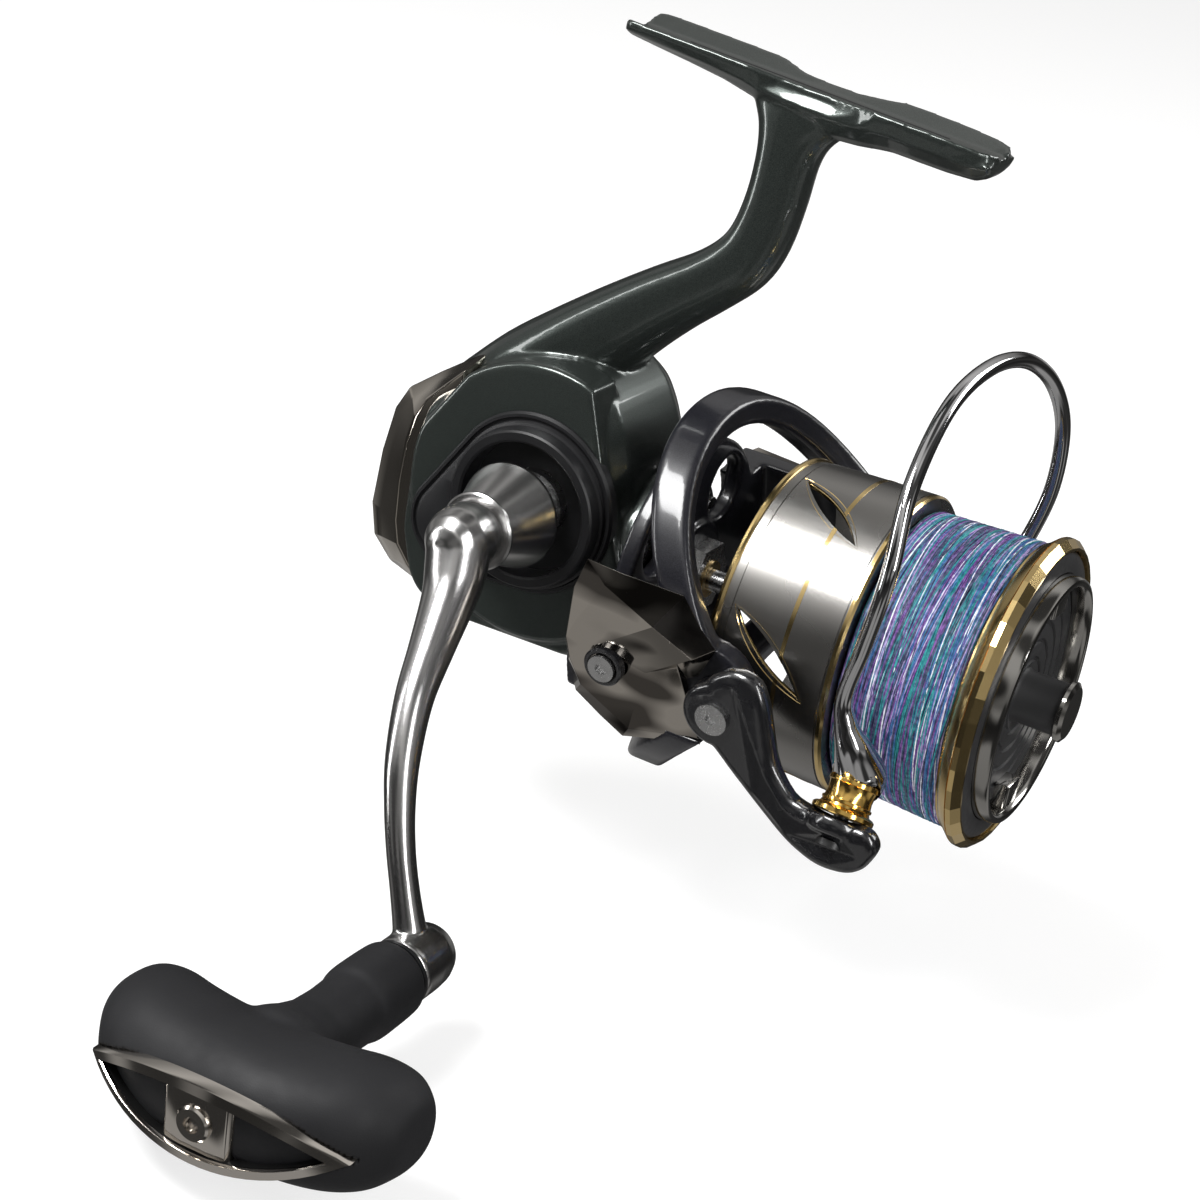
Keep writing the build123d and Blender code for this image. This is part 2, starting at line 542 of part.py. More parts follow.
def arch():
    """Half-loop that ties the fronts of the two arms over the top."""
    stations = [(a, -4.0 + 15.0 * (abs(a - 90.0) / 74.0) ** 2.2) for a in range(16, 165, 8)]
    stations += [(164, 11.0)]
    faces = []
    for a, x in stations:
        c, s = math.cos(math.radians(a)), math.sin(math.radians(a))
        mid = (ARCH_IN + ARCH_OUT) / 2
        plane = Plane(origin=(x, mid * c, mid * s), x_dir=(1, 0, 0), z_dir=(0, -s, c))
        faces.append(plane * RectangleRounded(ARCH_W, ARCH_OUT - ARCH_IN, 1.2))
    return loft(faces)


def both_arches():
    top = arch()
    return top + mirror(top, about=Plane.XY)


def rotor_frame():
    """Open rotor: hub, holed disc, two arms and the two arches."""
    hub = rev_x([(CLUTCH_X0 + 0.6, PINION_TUBE_R), (CLUTCH_X0 + 0.6, SLEEVE_R), (DISC_X0, SLEEVE_R), (DISC_X0, DISC_R),
                 (DISC_X1, DISC_R), (DISC_X1, 9.0), (-4.4, 9.0), (-4.4, PINION_TUBE_R)])
    body = hub
    for a in (45, 135, 225, 315):
        body -= Rot(a, 0, 0) * cyl_x(WINDOW_R, -12, 0, WINDOW_AT, 0)
    ring = tube_x(ARM_IN, ARM_OUT, ARM_X0, ARM_X1) + tube_x(DISC_R - 2.0, ARM_OUT, ARM_X0, DISC_X1)
    for sign in (-1, 1):
        body += ring & arm_outline(sign, ARM_HALF, 40)
    body += both_arches()
    body -= tube_x(PINION_TUBE_R, 26.5, DISC_X1 + 0.01, 60) - tube_x(PINION_TUBE_R, 9.0, DISC_X1, -4.4)
    for sign in (-1, 1):
        body -= cyl_y(PIVOT_R, sign * 20, sign * 40, PIVOT_X, 0)
        body -= cyl_y(0.9, sign * 26, sign * 40, COVER_SCREW_X, 0)
    return on_rotor(body)


PIVOT_R = 1.6
COVER_SCREW_X = -3.0
COVER_OUT = 34.0


def cover_plan(grow, y):
    """Outline of the near arm's cover at distance y."""
    pts = [(-9.6, 15.2), (8.0, 15.2), (12.0, 10.0), (11.0, 6.6), (11.0, -6.6), (10.5, -10.2), (0.0, -12.8)]
    pts += [(-5.5, -11.0), (-10.0, -6.5), (-10.9, 0.0), (-10.9, 9.0)]
    cx, cz = 0.0, 1.0
    pts = [(cx + (x - cx) * grow, cz + (z - cz) * grow) for x, z in pts]
    return profile_at(pts, y)


def arm_cover():
    """Faceted bright cover over the near arm."""
    low = loft([cover_plan(1.0, -29.0), cover_plan(0.97, -31.2)], ruled=True)
    high = loft([cover_plan(0.97, -31.2), cover_plan(0.62, -COVER_OUT)], ruled=True)
    cover = low + high - cyl_x(ARM_OUT + 0.05, -20, 40)
    cover -= cyl_y(0.9, -40, -20, COVER_SCREW_X, 0) + cyl_y(2.4, -40, -32.6, COVER_SCREW_X, 0)
    cover -= cyl_y(BOSS_DISC_R + 0.4, -40, -20, PIVOT_X, 0)
    cover -= both_arches()
    for turn in range(60, 111, 5):
        cover -= Pos(PIVOT_X, 0, 0) * Rot(0, turn, 0) * Pos(-PIVOT_X, 0, 0) * lever_blade(0.5)
    return on_rotor(cover)


BOSS_DISC_R = 5.6


def far_cover():
    """Cover of the far arm, a plain counterweight shell."""
    low = loft([profile_at([(-10, -8), (9, -7), (9, 7), (-10, 8)], 29.0), profile_at([(-9.6, -7.6), (8.6, -6.6), (8.6, 6.6), (-9.6, 7.6)], 31.6)], ruled=True)
    high = loft([profile_at([(-9.6, -7.6), (8.6, -6.6), (8.6, 6.6), (-9.6, 7.6)], 31.6), profile_at([(-7.0, -5.2), (6.4, -4.4), (6.4, 4.4), (-7.0, 5.2)], 33.4)], ruled=True)
    cover = low + high - cyl_x(ARM_OUT + 0.05, -20, 40)
    cover -= cyl_y(0.9, 20, 40, COVER_SCREW_X, 0) + cyl_y(2.4, 32.4, 40, COVER_SCREW_X, 0)
    cover -= both_arches()
    return on_rotor(cover)


def cover_screws():
    """Countersunk screws that hold the two arm covers."""
    out = []
    for sign, seat in ((-1, -32.6), (1, 32.4)):
        head = cyl_y(2.3, seat, seat + sign * 0.8, COVER_SCREW_X, 0) - cyl_y(1.0, seat + sign * 0.3, seat + sign * 2, COVER_SCREW_X, 0)
        out.append(on_rotor(head + cyl_y(0.9, sign * 27.2, seat, COVER_SCREW_X, 0)))
    return out


def pinion():
    """Pinion with the long tube the rotor sits on."""
    x0, x1 = -30.3, -21.0
    gear = cyl_x(PINION_TIP_R - 0.9, x0, x1)
    tooth = Pos((x0 + x1) / 2, PINION_TIP_R - 0.75, 0) * Box(x1 - x0, 1.5, 0.9)
    gear += [Rot(36.0 * i, 0, 0) * tooth for i in range(PINION_TEETH)]
    return on_spool(gear + cyl_x(PINION_TUBE_R, x1, -1.2) - cyl_x(SHAFT_R + SHAFT_FIT, -40, 10))


def rotor_nut():
    """Hexagon nut that clamps the rotor on the pinion."""
    nut = extrude(Plane(origin=(-4.35, 0, 0), x_dir=(0, 1, 0), z_dir=(1, 0, 0)) * RegularPolygon(6.4, 6), amount=2.8)
    return on_spool(nut - cyl_x(PINION_TUBE_R + 0.02, -10, 10))


def pivot_screws():
    """Shouldered screws the bail turns on, one in each arm."""
    out = []
    for sign, outer in ((-1, LEVER_OUT), (1, HOLDER_OUT)):
        shank = cyl_y(PIVOT_R, sign * 27.0, sign * outer, PIVOT_X, 0)
        head = cyl_y(2.7, sign * outer, sign * (outer + 0.9), PIVOT_X, 0)
        slot = cyl_y(0.9, sign * (outer + 0.4), sign * 50, PIVOT_X, 0)
        out.append(on_rotor(shank + head - slot))
    return out


LEVER_IN, LEVER_OUT = 30.75, 34.2
HOLDER_IN, HOLDER_OUT = 30.75, 33.6


def build_rotor():
    save("rotor_frame", rotor_frame())
    save("arm_cover_near", arm_cover())
    save("arm_cover_far", far_cover())
    save("cover_screws", *cover_screws())
    save("pinion_gear", pinion())
    save("rotor_nut", rotor_nut())
    save("bail_pivot_screws", *pivot_screws())


# ---- bail ------------------------------------------------------------------
ROLLER_C = (40.6, -32.2, -6.4)
ROLLER_TILT = -41.0        # roller axis turned from -Z towards -Y, degrees
ROLLER_R = 4.0


def on_roller(shape):
    """From the roller's frame (axis +Z towards the wire) to the row frame."""
    return on_rotor(Pos(*ROLLER_C) * Rot(ROLLER_TILT, 0, 0) * shape)


def disc_plan(x, z, r, y0, y1):
    return cyl_y(r, y0, y1, x, z)


def lever_blade(extra=0.0):
    """Curved bar from the pivot boss to the roller's ear, in the rotor's frame."""
    stations = [(17.0, 2.0, 5.0, -32.5), (21.6, 1.0, 4.6, -32.5)]
    stations += [(24.0, -5.0, 4.2, -32.6), (28.0, -10.6, 3.9, -33.2)]
    stations += [(34.0, -13.6, 3.7, -34.6), (40.6, -12.6, 3.9, -37.6)]
    faces = []
    for i, (x, z, r, y) in enumerate(stations):
        a, b = stations[max(i - 1, 0)], stations[min(i + 1, len(stations) - 1)]
        t = Vector(b[0] - a[0], b[3] - a[3], b[1] - a[1])
        plane = Plane(origin=(x, y, z), x_dir=(0, 1, 0), z_dir=tuple(t))
        faces.append(plane * make_face(Ellipse(1.7 + 0.12 * i + extra, r + extra)))
    return loft(faces)


def bail_lever():
    """Black arm from the near pivot forward and down to the roller."""
    lever = disc_plan(PIVOT_X, 0, BOSS_DISC_R, -LEVER_OUT, -LEVER_IN) + lever_blade()
    lever = on_rotor(lever)
    lever += on_roller(Pos(0, 0, -5.2) * Cylinder(4.6, 3.6))
    lever -= on_rotor(cyl_y(PIVOT_R + SHAFT_FIT, -50, -20, PIVOT_X, 0) + cyl_y(3.0, -50, -LEVER_OUT, PIVOT_X, 0))
    lever -= on_roller(Pos(0, 0, -3.3) * Cylinder(1.25, 9) + Pos(0, 0, -9.5) * Cylinder(2.5, 5.0))
    lever -= on_roller(Pos(0, 0, 0.9) * Cylinder(7.0, 8.4)) + on_spool(cyl_x(26.4, 0, 60))
    return lever


def line_roller():
    """Grooved roller with its wide flange."""
    pts = [(-3.0, 1.55), (-3.0, 4.9), (-2.1, 4.9), (-1.7, ROLLER_R - 0.4)]
    pts += [(0.2, 3.1), (2.4, 3.4), (2.9, 3.6), (2.9, 1.55)]
    return on_roller(revolve(make_face(Polyline(*[(r, 0, z) for z, r in pts], close=True)), Axis.Z, 360))


def roller_bush():
    return on_roller(Pos(0, 0, -0.05) * (Cylinder(1.5, 5.7) - Cylinder(1.25, 8)))


def roller_screw():
    pin = Pos(0, 0, -1.9) * Cylinder(1.22, 10.2) + Pos(0, 0, -7.5) * Cylinder(2.3, 1.0)
    return on_roller(pin)


WIRE = [(37.0, -31.0, 10.5), (38.8, -30.7, 20.4), (40.2, -28.9, 32.4)]
WIRE += [(38.4, -20.8, 42.4), (36.9, -6.0, 48.4)]
WIRE += [(37.0, 9.0, 48.6), (38.4, 21.5, 45.0), (40.2, 31.5, 37.4), (41.6, 37.4, 27.0), (41.4, 38.8, 14.5), (39.0, 37.6, 3.4)]
WIRE += [(36.4, 36.2, -3.4)]
WIRE_R = 1.3


def bail_wire():
    """Tubular bail with the flared end that meets the roller."""
    path = Spline(*WIRE)
    start = Plane(origin=WIRE[0], z_dir=path % 0)
    wire = sweep(start * Circle(WIRE_R), path=path)
    base = Pos(*ROLLER_C) * Rot(ROLLER_TILT, 0, 0) * Plane(origin=(0, 0, 3.2), z_dir=(0, 0, 1)) * Circle(4.3)
    mid = Plane(origin=(39.9, -30.9, 1.2), z_dir=(-0.25, 0.0, 1)) * Circle(3.0)
    horn = loft([base, mid, Plane(origin=(38.0, -31.2, 6.2), z_dir=(-0.2, 0.02, 1)) * Circle(1.8), start * Circle(WIRE_R)])
    horn -= Pos(*ROLLER_C) * Rot(ROLLER_TILT, 0, 0) * Pos(0, 0, -1.8) * Cylinder(9, 10)
    return on_rotor(wire + horn)


def bail_holder():
    """Far lever that carries the other end of the wire."""
    hold = disc_plan(PIVOT_X, 0, 5.2, HOLDER_IN, HOLDER_OUT)
    faces = []
    for x, y, z, a, b in [(18.5, 32.2, 0, 1.4, 3.6), (23.5, 33.0, -1.6, 1.6, 3.2), (29.5, 34.4, -3.6, 1.8, 2.8), (37.4, 36.4, -4.6, 2.1, 2.4)]:
        faces.append(Plane(origin=(x, y, z), x_dir=(-0.2, 0.96, 0), z_dir=(0.96, 0.2, -0.2)) * make_face(Ellipse(a, b)))
    hold += loft(faces)
    hold -= cyl_y(PIVOT_R + SHAFT_FIT, 20, 50, PIVOT_X, 0) + cyl_y(3.0, HOLDER_OUT, 50, PIVOT_X, 0)
    return on_rotor(hold)


def build_bail():
    lever, wire = bail_lever(), bail_wire()
    holder = bail_holder() - wire
    save("bail_lever", lever)
    save("bail_wire", wire)
    save("bail_holder", holder)
    save("line_roller", line_roller())
    save("roller_bush", roller_bush())
    save("roller_screw", roller_screw())


# ---- spool -----------------------------------------------------------------
SHAFT_X0, SHAFT_X1 = -39.8, 53.2
SLIDER_SCREW_R = 0.8
SLIDER_X = (-38.9, -35.9)
STROKE = 7.5              # crank radius, half the spool stroke


def main_shaft():
    """Shaft that carries the spool and slides through the pinion."""
    shaft = cyl_x(SHAFT_R, SHAFT_X0, SHAFT_X1)
    return on_spool(shaft)


def slider():
    """Oscillation slider clamped on the shaft's rear end."""
    x0, x1 = SLIDER_X
    block = box(x0, x1, -6.2, 6.2, GUIDE_Z - 2.3, GUIDE_Z + 2.3)
    block += box(x0, x1, -3.0, 5.2, GUIDE_Z, OSC_AT[1] + STROKE + 1.0)
    mid = (x0 + x1) / 2
    block -= box(mid - 1.0, mid + 1.0, 3.8, 6.0, OSC_AT[1] - STROKE - 0.6, OSC_AT[1] + STROKE + 2)
    block -= on_spool(cyl_x(SHAFT_R, -60, 0))
    block -= cyl_y(SLIDER_SCREW_R, -4, SHAFT_R - 2.2, (x0 + x1) / 2, SPOOL_Z)
    for y in GUIDE_Y:
        block -= cyl_x(GUIDE_R + SHAFT_FIT, -60, 0, y, GUIDE_Z)
    return block


def slider_screw():
    mid = sum(SLIDER_X) / 2
    shank = cyl_y(SLIDER_SCREW_R, -3.0, -SHAFT_R, mid, SPOOL_Z) - on_spool(cyl_x(SHAFT_R, -60, 0))
    return shank + cyl_y(1.4, -3.6, -3.0, mid, SPOOL_Z)


def spool_body():
    """Skirt, arbor and the two flanges in one turning, hollow for the drag."""
    pts = [(SKIRT_X0, SKIRT_R0 - 1.0), (SKIRT_X0, SKIRT_R0 - 0.3)]
    pts += [(SKIRT_X0 + 0.4, SKIRT_R0), (SKIRT_X1, SKIRT_R1)]
    pts += [(SKIRT_X1 + 0.6, SKIRT_R1 - 0.4), (SKIRT_X1 + 0.6, ARBOR_R), (50.9, ARBOR_R), (50.9, 23.2), (53.05, 23.2)]
    pts += [(53.05, DRAG_POCKET_R), (DRAG_X0, DRAG_POCKET_R), (DRAG_X0, SHAFT_R + 0.06), (SKIRT_X1 - 1.4, SHAFT_R + 0.06)]
    pts += [(SKIRT_X1 - 1.4, 6.5), (SKIRT_X1 - 0.4, 6.5), (SKIRT_X1 - 0.4, SKIRT_R1 - 1.1)]
    body = rev_x(pts)
    for a in range(6):
        body -= Rot(60 * a + SKIRT_HOLE_TURN, 0, 0) * skirt_hole()
    return on_spool(body)


DRAG_POCKET_R, DRAG_X0 = 15.0, 39.0
SKIRT_HOLE_TURN = 24.0


def skirt_hole():
    """Long pointed oval through the skirt's wall, laid askew."""
    face = make_face([ThreePointArc((-8.4, 0), (0, 1.7), (8.4, 0)), ThreePointArc((8.4, 0), (0, -1.7), (-8.4, 0))])
    face = Pos(20.5, 0) * Rot(0, 0, 38) * face
    return extrude(face, amount=40)


def lip_ring():
    """Faceted front ring of the spool."""
    pts = [(50.95, 23.25), (50.95, 24.1), (53.0, LIP_R), (54.3, LIP_R)]
    pts += [(LIP_X, 24.8), (LIP_X, 24.3), (53.05, 24.3), (53.05, 23.25)]
    return on_spool(rev_x(pts))


def line_winding():
    """Wound line, one solid."""
    pts = [(LINE_X0, ARBOR_R + 0.05), (LINE_X0, LINE_R0), (LINE_X0 + 0.8, LINE_R0 + 0.3)]
    pts += [(LINE_X1 - 1.0, LINE_R1), (LINE_X1, LINE_R1 - 0.5)]
    pts += [(LINE_X1, ARBOR_R + 0.05)]
    return on_spool(rev_x(pts))


WASHER_X = [39.05, 40.15, 41.25, 42.35, 43.45]


def drag_discs(which):
    """Alternate felt (0) and keyed metal (1) discs of the drag."""
    r_in = SHAFT_R + 0.4 * (1 - which)
    return [on_spool(tube_x(r_in, 14.2, x, x + 1.0)) for x in WASHER_X[which::2]]


def drag_clip():
    """Open spring ring that keeps the drag stack in the spool."""
    ring = tube_x(12.4, 14.7, 44.7, 45.5) - box(44, 46, -3, 3, 10, 16)
    return on_spool(ring)


def build_spool():
    save("main_shaft", main_shaft())
    save("osc_slider", slider())
    save("slider_screw", slider_screw())
    save("spool_body", spool_body())
    save("lip_ring", lip_ring())
    save("line_winding", line_winding())
    save("drag_felts", *drag_discs(0))
    save("drag_plates", *drag_discs(1))
    save("drag_clip", drag_clip())


# ---- drag knob -------------------------------------------------------------
def drag_knob():
    """Black knob body: flat rim, ribbed floor, central boss, inner sleeve."""
    pts = [(53.4, 0.0), (53.4, KNOB_R - 0.3), (53.7, KNOB_R)]
    pts += [(54.9, KNOB_R), (55.3, KNOB_R - 0.4), (55.3, TRIM_R)]
    pts += [(54.2, TRIM_R), (54.2, 16.2)]
    for r in (14.4, 11.6, 8.8):
        pts += [(54.2, r + 1.0), (54.8, r + 0.6), (54.8, r - 0.6), (54.2, r - 1.0)]
    pts += [(54.2, BOSS_R + 0.6), (54.8, BOSS_R), (61.4, BOSS_R), (61.4, 0.0)]
    body = rev_x(pts) + tube_x(5.2, 8.0, 46.2, 53.5)
    return on_spool(body)


def knob_trim():
    """Bright ring standing proud of the knob, with two finger wings."""
    pts = [(54.25, TRIM_R - 0.05), (57.2, TRIM_R - 0.05), (TRIM_X, TRIM_R - 0.6)]
    pts += [(TRIM_X, TRIM_R - 1.2), (57.3, TRIM_R - 1.9)]
    pts += [(54.25, TRIM_R - 2.1)]
    trim = rev_x(pts)
    for sign in (-1, 1):
        trim += box(54.85, 57.0, -2.6, 2.6, sign * 15.2 if sign > 0 else -18.9, 18.9 if sign > 0 else -15.2)
    return on_spool(trim)


def knob_cap():
    cap = rev_x([(61.45, 0.0), (61.45, 4.7), (61.8, 5.0), (62.4, 5.0), (62.9, 4.3), (62.9, 0.0)])
    return on_spool(cap)


def drag_nut():
    """Threaded square nut that presses the drag stack."""
    nut = tube_x(SHAFT_R, 4.9, 46.4, 50.4)
    return on_spool(nut)


def drag_spring():
    """Wave washer under the knob."""
    return on_spool(tube_x(5.4, 7.6, 45.6, 46.1))


def build_drag():
    save("drag_knob", drag_knob())
    save("drag_knob_trim", knob_trim())
    save("drag_knob_cap", knob_cap())
    save("drag_nut", drag_nut())
    save("drag_spring", drag_spring())


build_frame()
build_handle()
build_rotor()
build_bail()
build_spool()
build_drag()
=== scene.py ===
"""Looks of the spinning reel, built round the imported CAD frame."""
import bpy
import bmesh
import json
import math
import random
from mathutils import Matrix, Vector


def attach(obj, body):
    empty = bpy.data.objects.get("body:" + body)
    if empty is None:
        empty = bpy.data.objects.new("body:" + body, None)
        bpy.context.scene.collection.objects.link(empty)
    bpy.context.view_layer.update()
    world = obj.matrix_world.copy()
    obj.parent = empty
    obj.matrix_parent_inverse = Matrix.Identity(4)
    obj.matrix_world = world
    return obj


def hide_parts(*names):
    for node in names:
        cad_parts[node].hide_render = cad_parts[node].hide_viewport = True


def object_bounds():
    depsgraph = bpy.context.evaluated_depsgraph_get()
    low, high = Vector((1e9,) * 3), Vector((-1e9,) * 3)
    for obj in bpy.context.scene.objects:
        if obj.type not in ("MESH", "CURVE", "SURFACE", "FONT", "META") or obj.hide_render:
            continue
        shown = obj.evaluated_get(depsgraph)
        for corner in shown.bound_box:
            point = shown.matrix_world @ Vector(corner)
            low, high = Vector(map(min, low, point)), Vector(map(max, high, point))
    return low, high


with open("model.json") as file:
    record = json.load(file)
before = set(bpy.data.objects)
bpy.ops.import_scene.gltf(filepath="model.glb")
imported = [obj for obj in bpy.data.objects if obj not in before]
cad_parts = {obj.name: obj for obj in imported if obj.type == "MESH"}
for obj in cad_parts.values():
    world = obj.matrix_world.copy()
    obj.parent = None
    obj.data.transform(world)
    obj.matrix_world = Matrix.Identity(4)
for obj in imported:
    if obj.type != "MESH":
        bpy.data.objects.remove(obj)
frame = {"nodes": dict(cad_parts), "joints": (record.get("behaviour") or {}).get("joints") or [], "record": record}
CAD_BOX = [list(v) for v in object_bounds()]
random.seed(7)
MM = 0.001


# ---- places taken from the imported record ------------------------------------
def joint(name):
    return next(j for j in frame["joints"] if j["name"] == name)


SPOOL_AT = Vector(joint("rotor_spin")["pos_m"])
HUB_AT = Vector(joint("handle_spin")["pos_m"])
PIVOT_X = joint("bail_pivot")["pos_m"][0] / MM
TURN = math.atan2(joint("bail_pivot")["axis"][2], joint("bail_pivot")["axis"][1])
GRIP_AT = Vector(joint("grip_spin")["pos_m"])
ARM_LEAN = math.atan2(GRIP_AT.x - HUB_AT.x, HUB_AT.z - GRIP_AT.z)
ROW = Matrix.Scale(MM, 4)
SPOOL = Matrix.Translation((0, 0, SPOOL_AT.z)) @ ROW
ROTOR = Matrix.Translation((0, 0, SPOOL_AT.z)) @ Matrix.Rotation(TURN, 4, "X") @ ROW
HANDLE = Matrix.Translation((HUB_AT.x, 0, HUB_AT.z)) @ Matrix.Rotation(-ARM_LEAN, 4, "Y") @ ROW
GRIP = Matrix.Translation((GRIP_AT.x, 0, GRIP_AT.z)) @ ROW


# ---- materials ---------------------------------------------------------------
def shader(name, color, metallic=0.0, rough=0.4, coat=0.0, coat_rough=0.05, spec=0.5):
    m = bpy.data.materials.new(name)
    m.use_nodes = True
    b = m.node_tree.nodes["Principled BSDF"]
    b.inputs["Base Color"].default_value = (*color, 1)
    b.inputs["Metallic"].default_value = metallic
    b.inputs["Roughness"].default_value = rough
    b.inputs["Coat Weight"].default_value = coat
    b.inputs["Coat Roughness"].default_value = coat_rough
    b.inputs["Specular IOR Level"].default_value = spec
    return m


def node(m, kind, **values):
    n = m.node_tree.nodes.new(kind)
    for key, value in values.items():
        if key in n.inputs:
            n.inputs[key].default_value = value
        else:
            setattr(n, key, value)
    return n


def wire(m, a, out, b, inp):
    m.node_tree.links.new(a.outputs[out], b.inputs[inp])


def object_coords(m, scale=(1, 1, 1)):
    co = node(m, "ShaderNodeTexCoord")
    mp = node(m, "ShaderNodeMapping")
    mp.inputs["Scale"].default_value = scale
    wire(m, co, "Object", mp, "Vector")
    return mp


def vary(m, scale, low, high):
    """Roughness between low and high by noise."""
    mp = object_coords(m)
    tex = node(m, "ShaderNodeTexNoise", Scale=scale, Detail=3.0)
    rng = node(m, "ShaderNodeMapRange")
    rng.inputs["From Min"].default_value = 0.3
    rng.inputs["From Max"].default_value = 0.7
    rng.inputs["To Min"].default_value = low
    rng.inputs["To Max"].default_value = high
    wire(m, mp, "Vector", tex, "Vector")
    wire(m, tex, "Fac", rng, "Value")
    wire(m, rng, "Result", m.node_tree.nodes["Principled BSDF"], "Roughness")


def tint(m, scale, a, b, detail=4.0, stretch=(1, 1, 1), spread=(0.4, 0.6)):
    """Base colour between two colours by noise."""
    mp = object_coords(m, stretch)
    tex = node(m, "ShaderNodeTexNoise", Scale=scale, Detail=detail)
    ramp = node(m, "ShaderNodeValToRGB")
    ramp.color_ramp.elements[0].position, ramp.color_ramp.elements[1].position = spread
    ramp.color_ramp.elements[0].color = (*a, 1)
    ramp.color_ramp.elements[1].color = (*b, 1)
    wire(m, mp, "Vector", tex, "Vector")
    wire(m, tex, "Fac", ramp, "Fac")
    wire(m, ramp, "Color", m.node_tree.nodes["Principled BSDF"], "Base Color")


def bumps(m, scale, strength, distance=0.00005, detail=2.0):
    """Fine relief by noise; distance is in metres."""
    mp = object_coords(m)
    tex = node(m, "ShaderNodeTexNoise", Scale=scale, Detail=detail)
    bump = node(m, "ShaderNodeBump", Strength=strength, Distance=distance)
    wire(m, mp, "Vector", tex, "Vector")
    wire(m, tex, "Fac", bump, "Height")
    wire(m, bump, "Normal", m.node_tree.nodes["Principled BSDF"], "Normal")


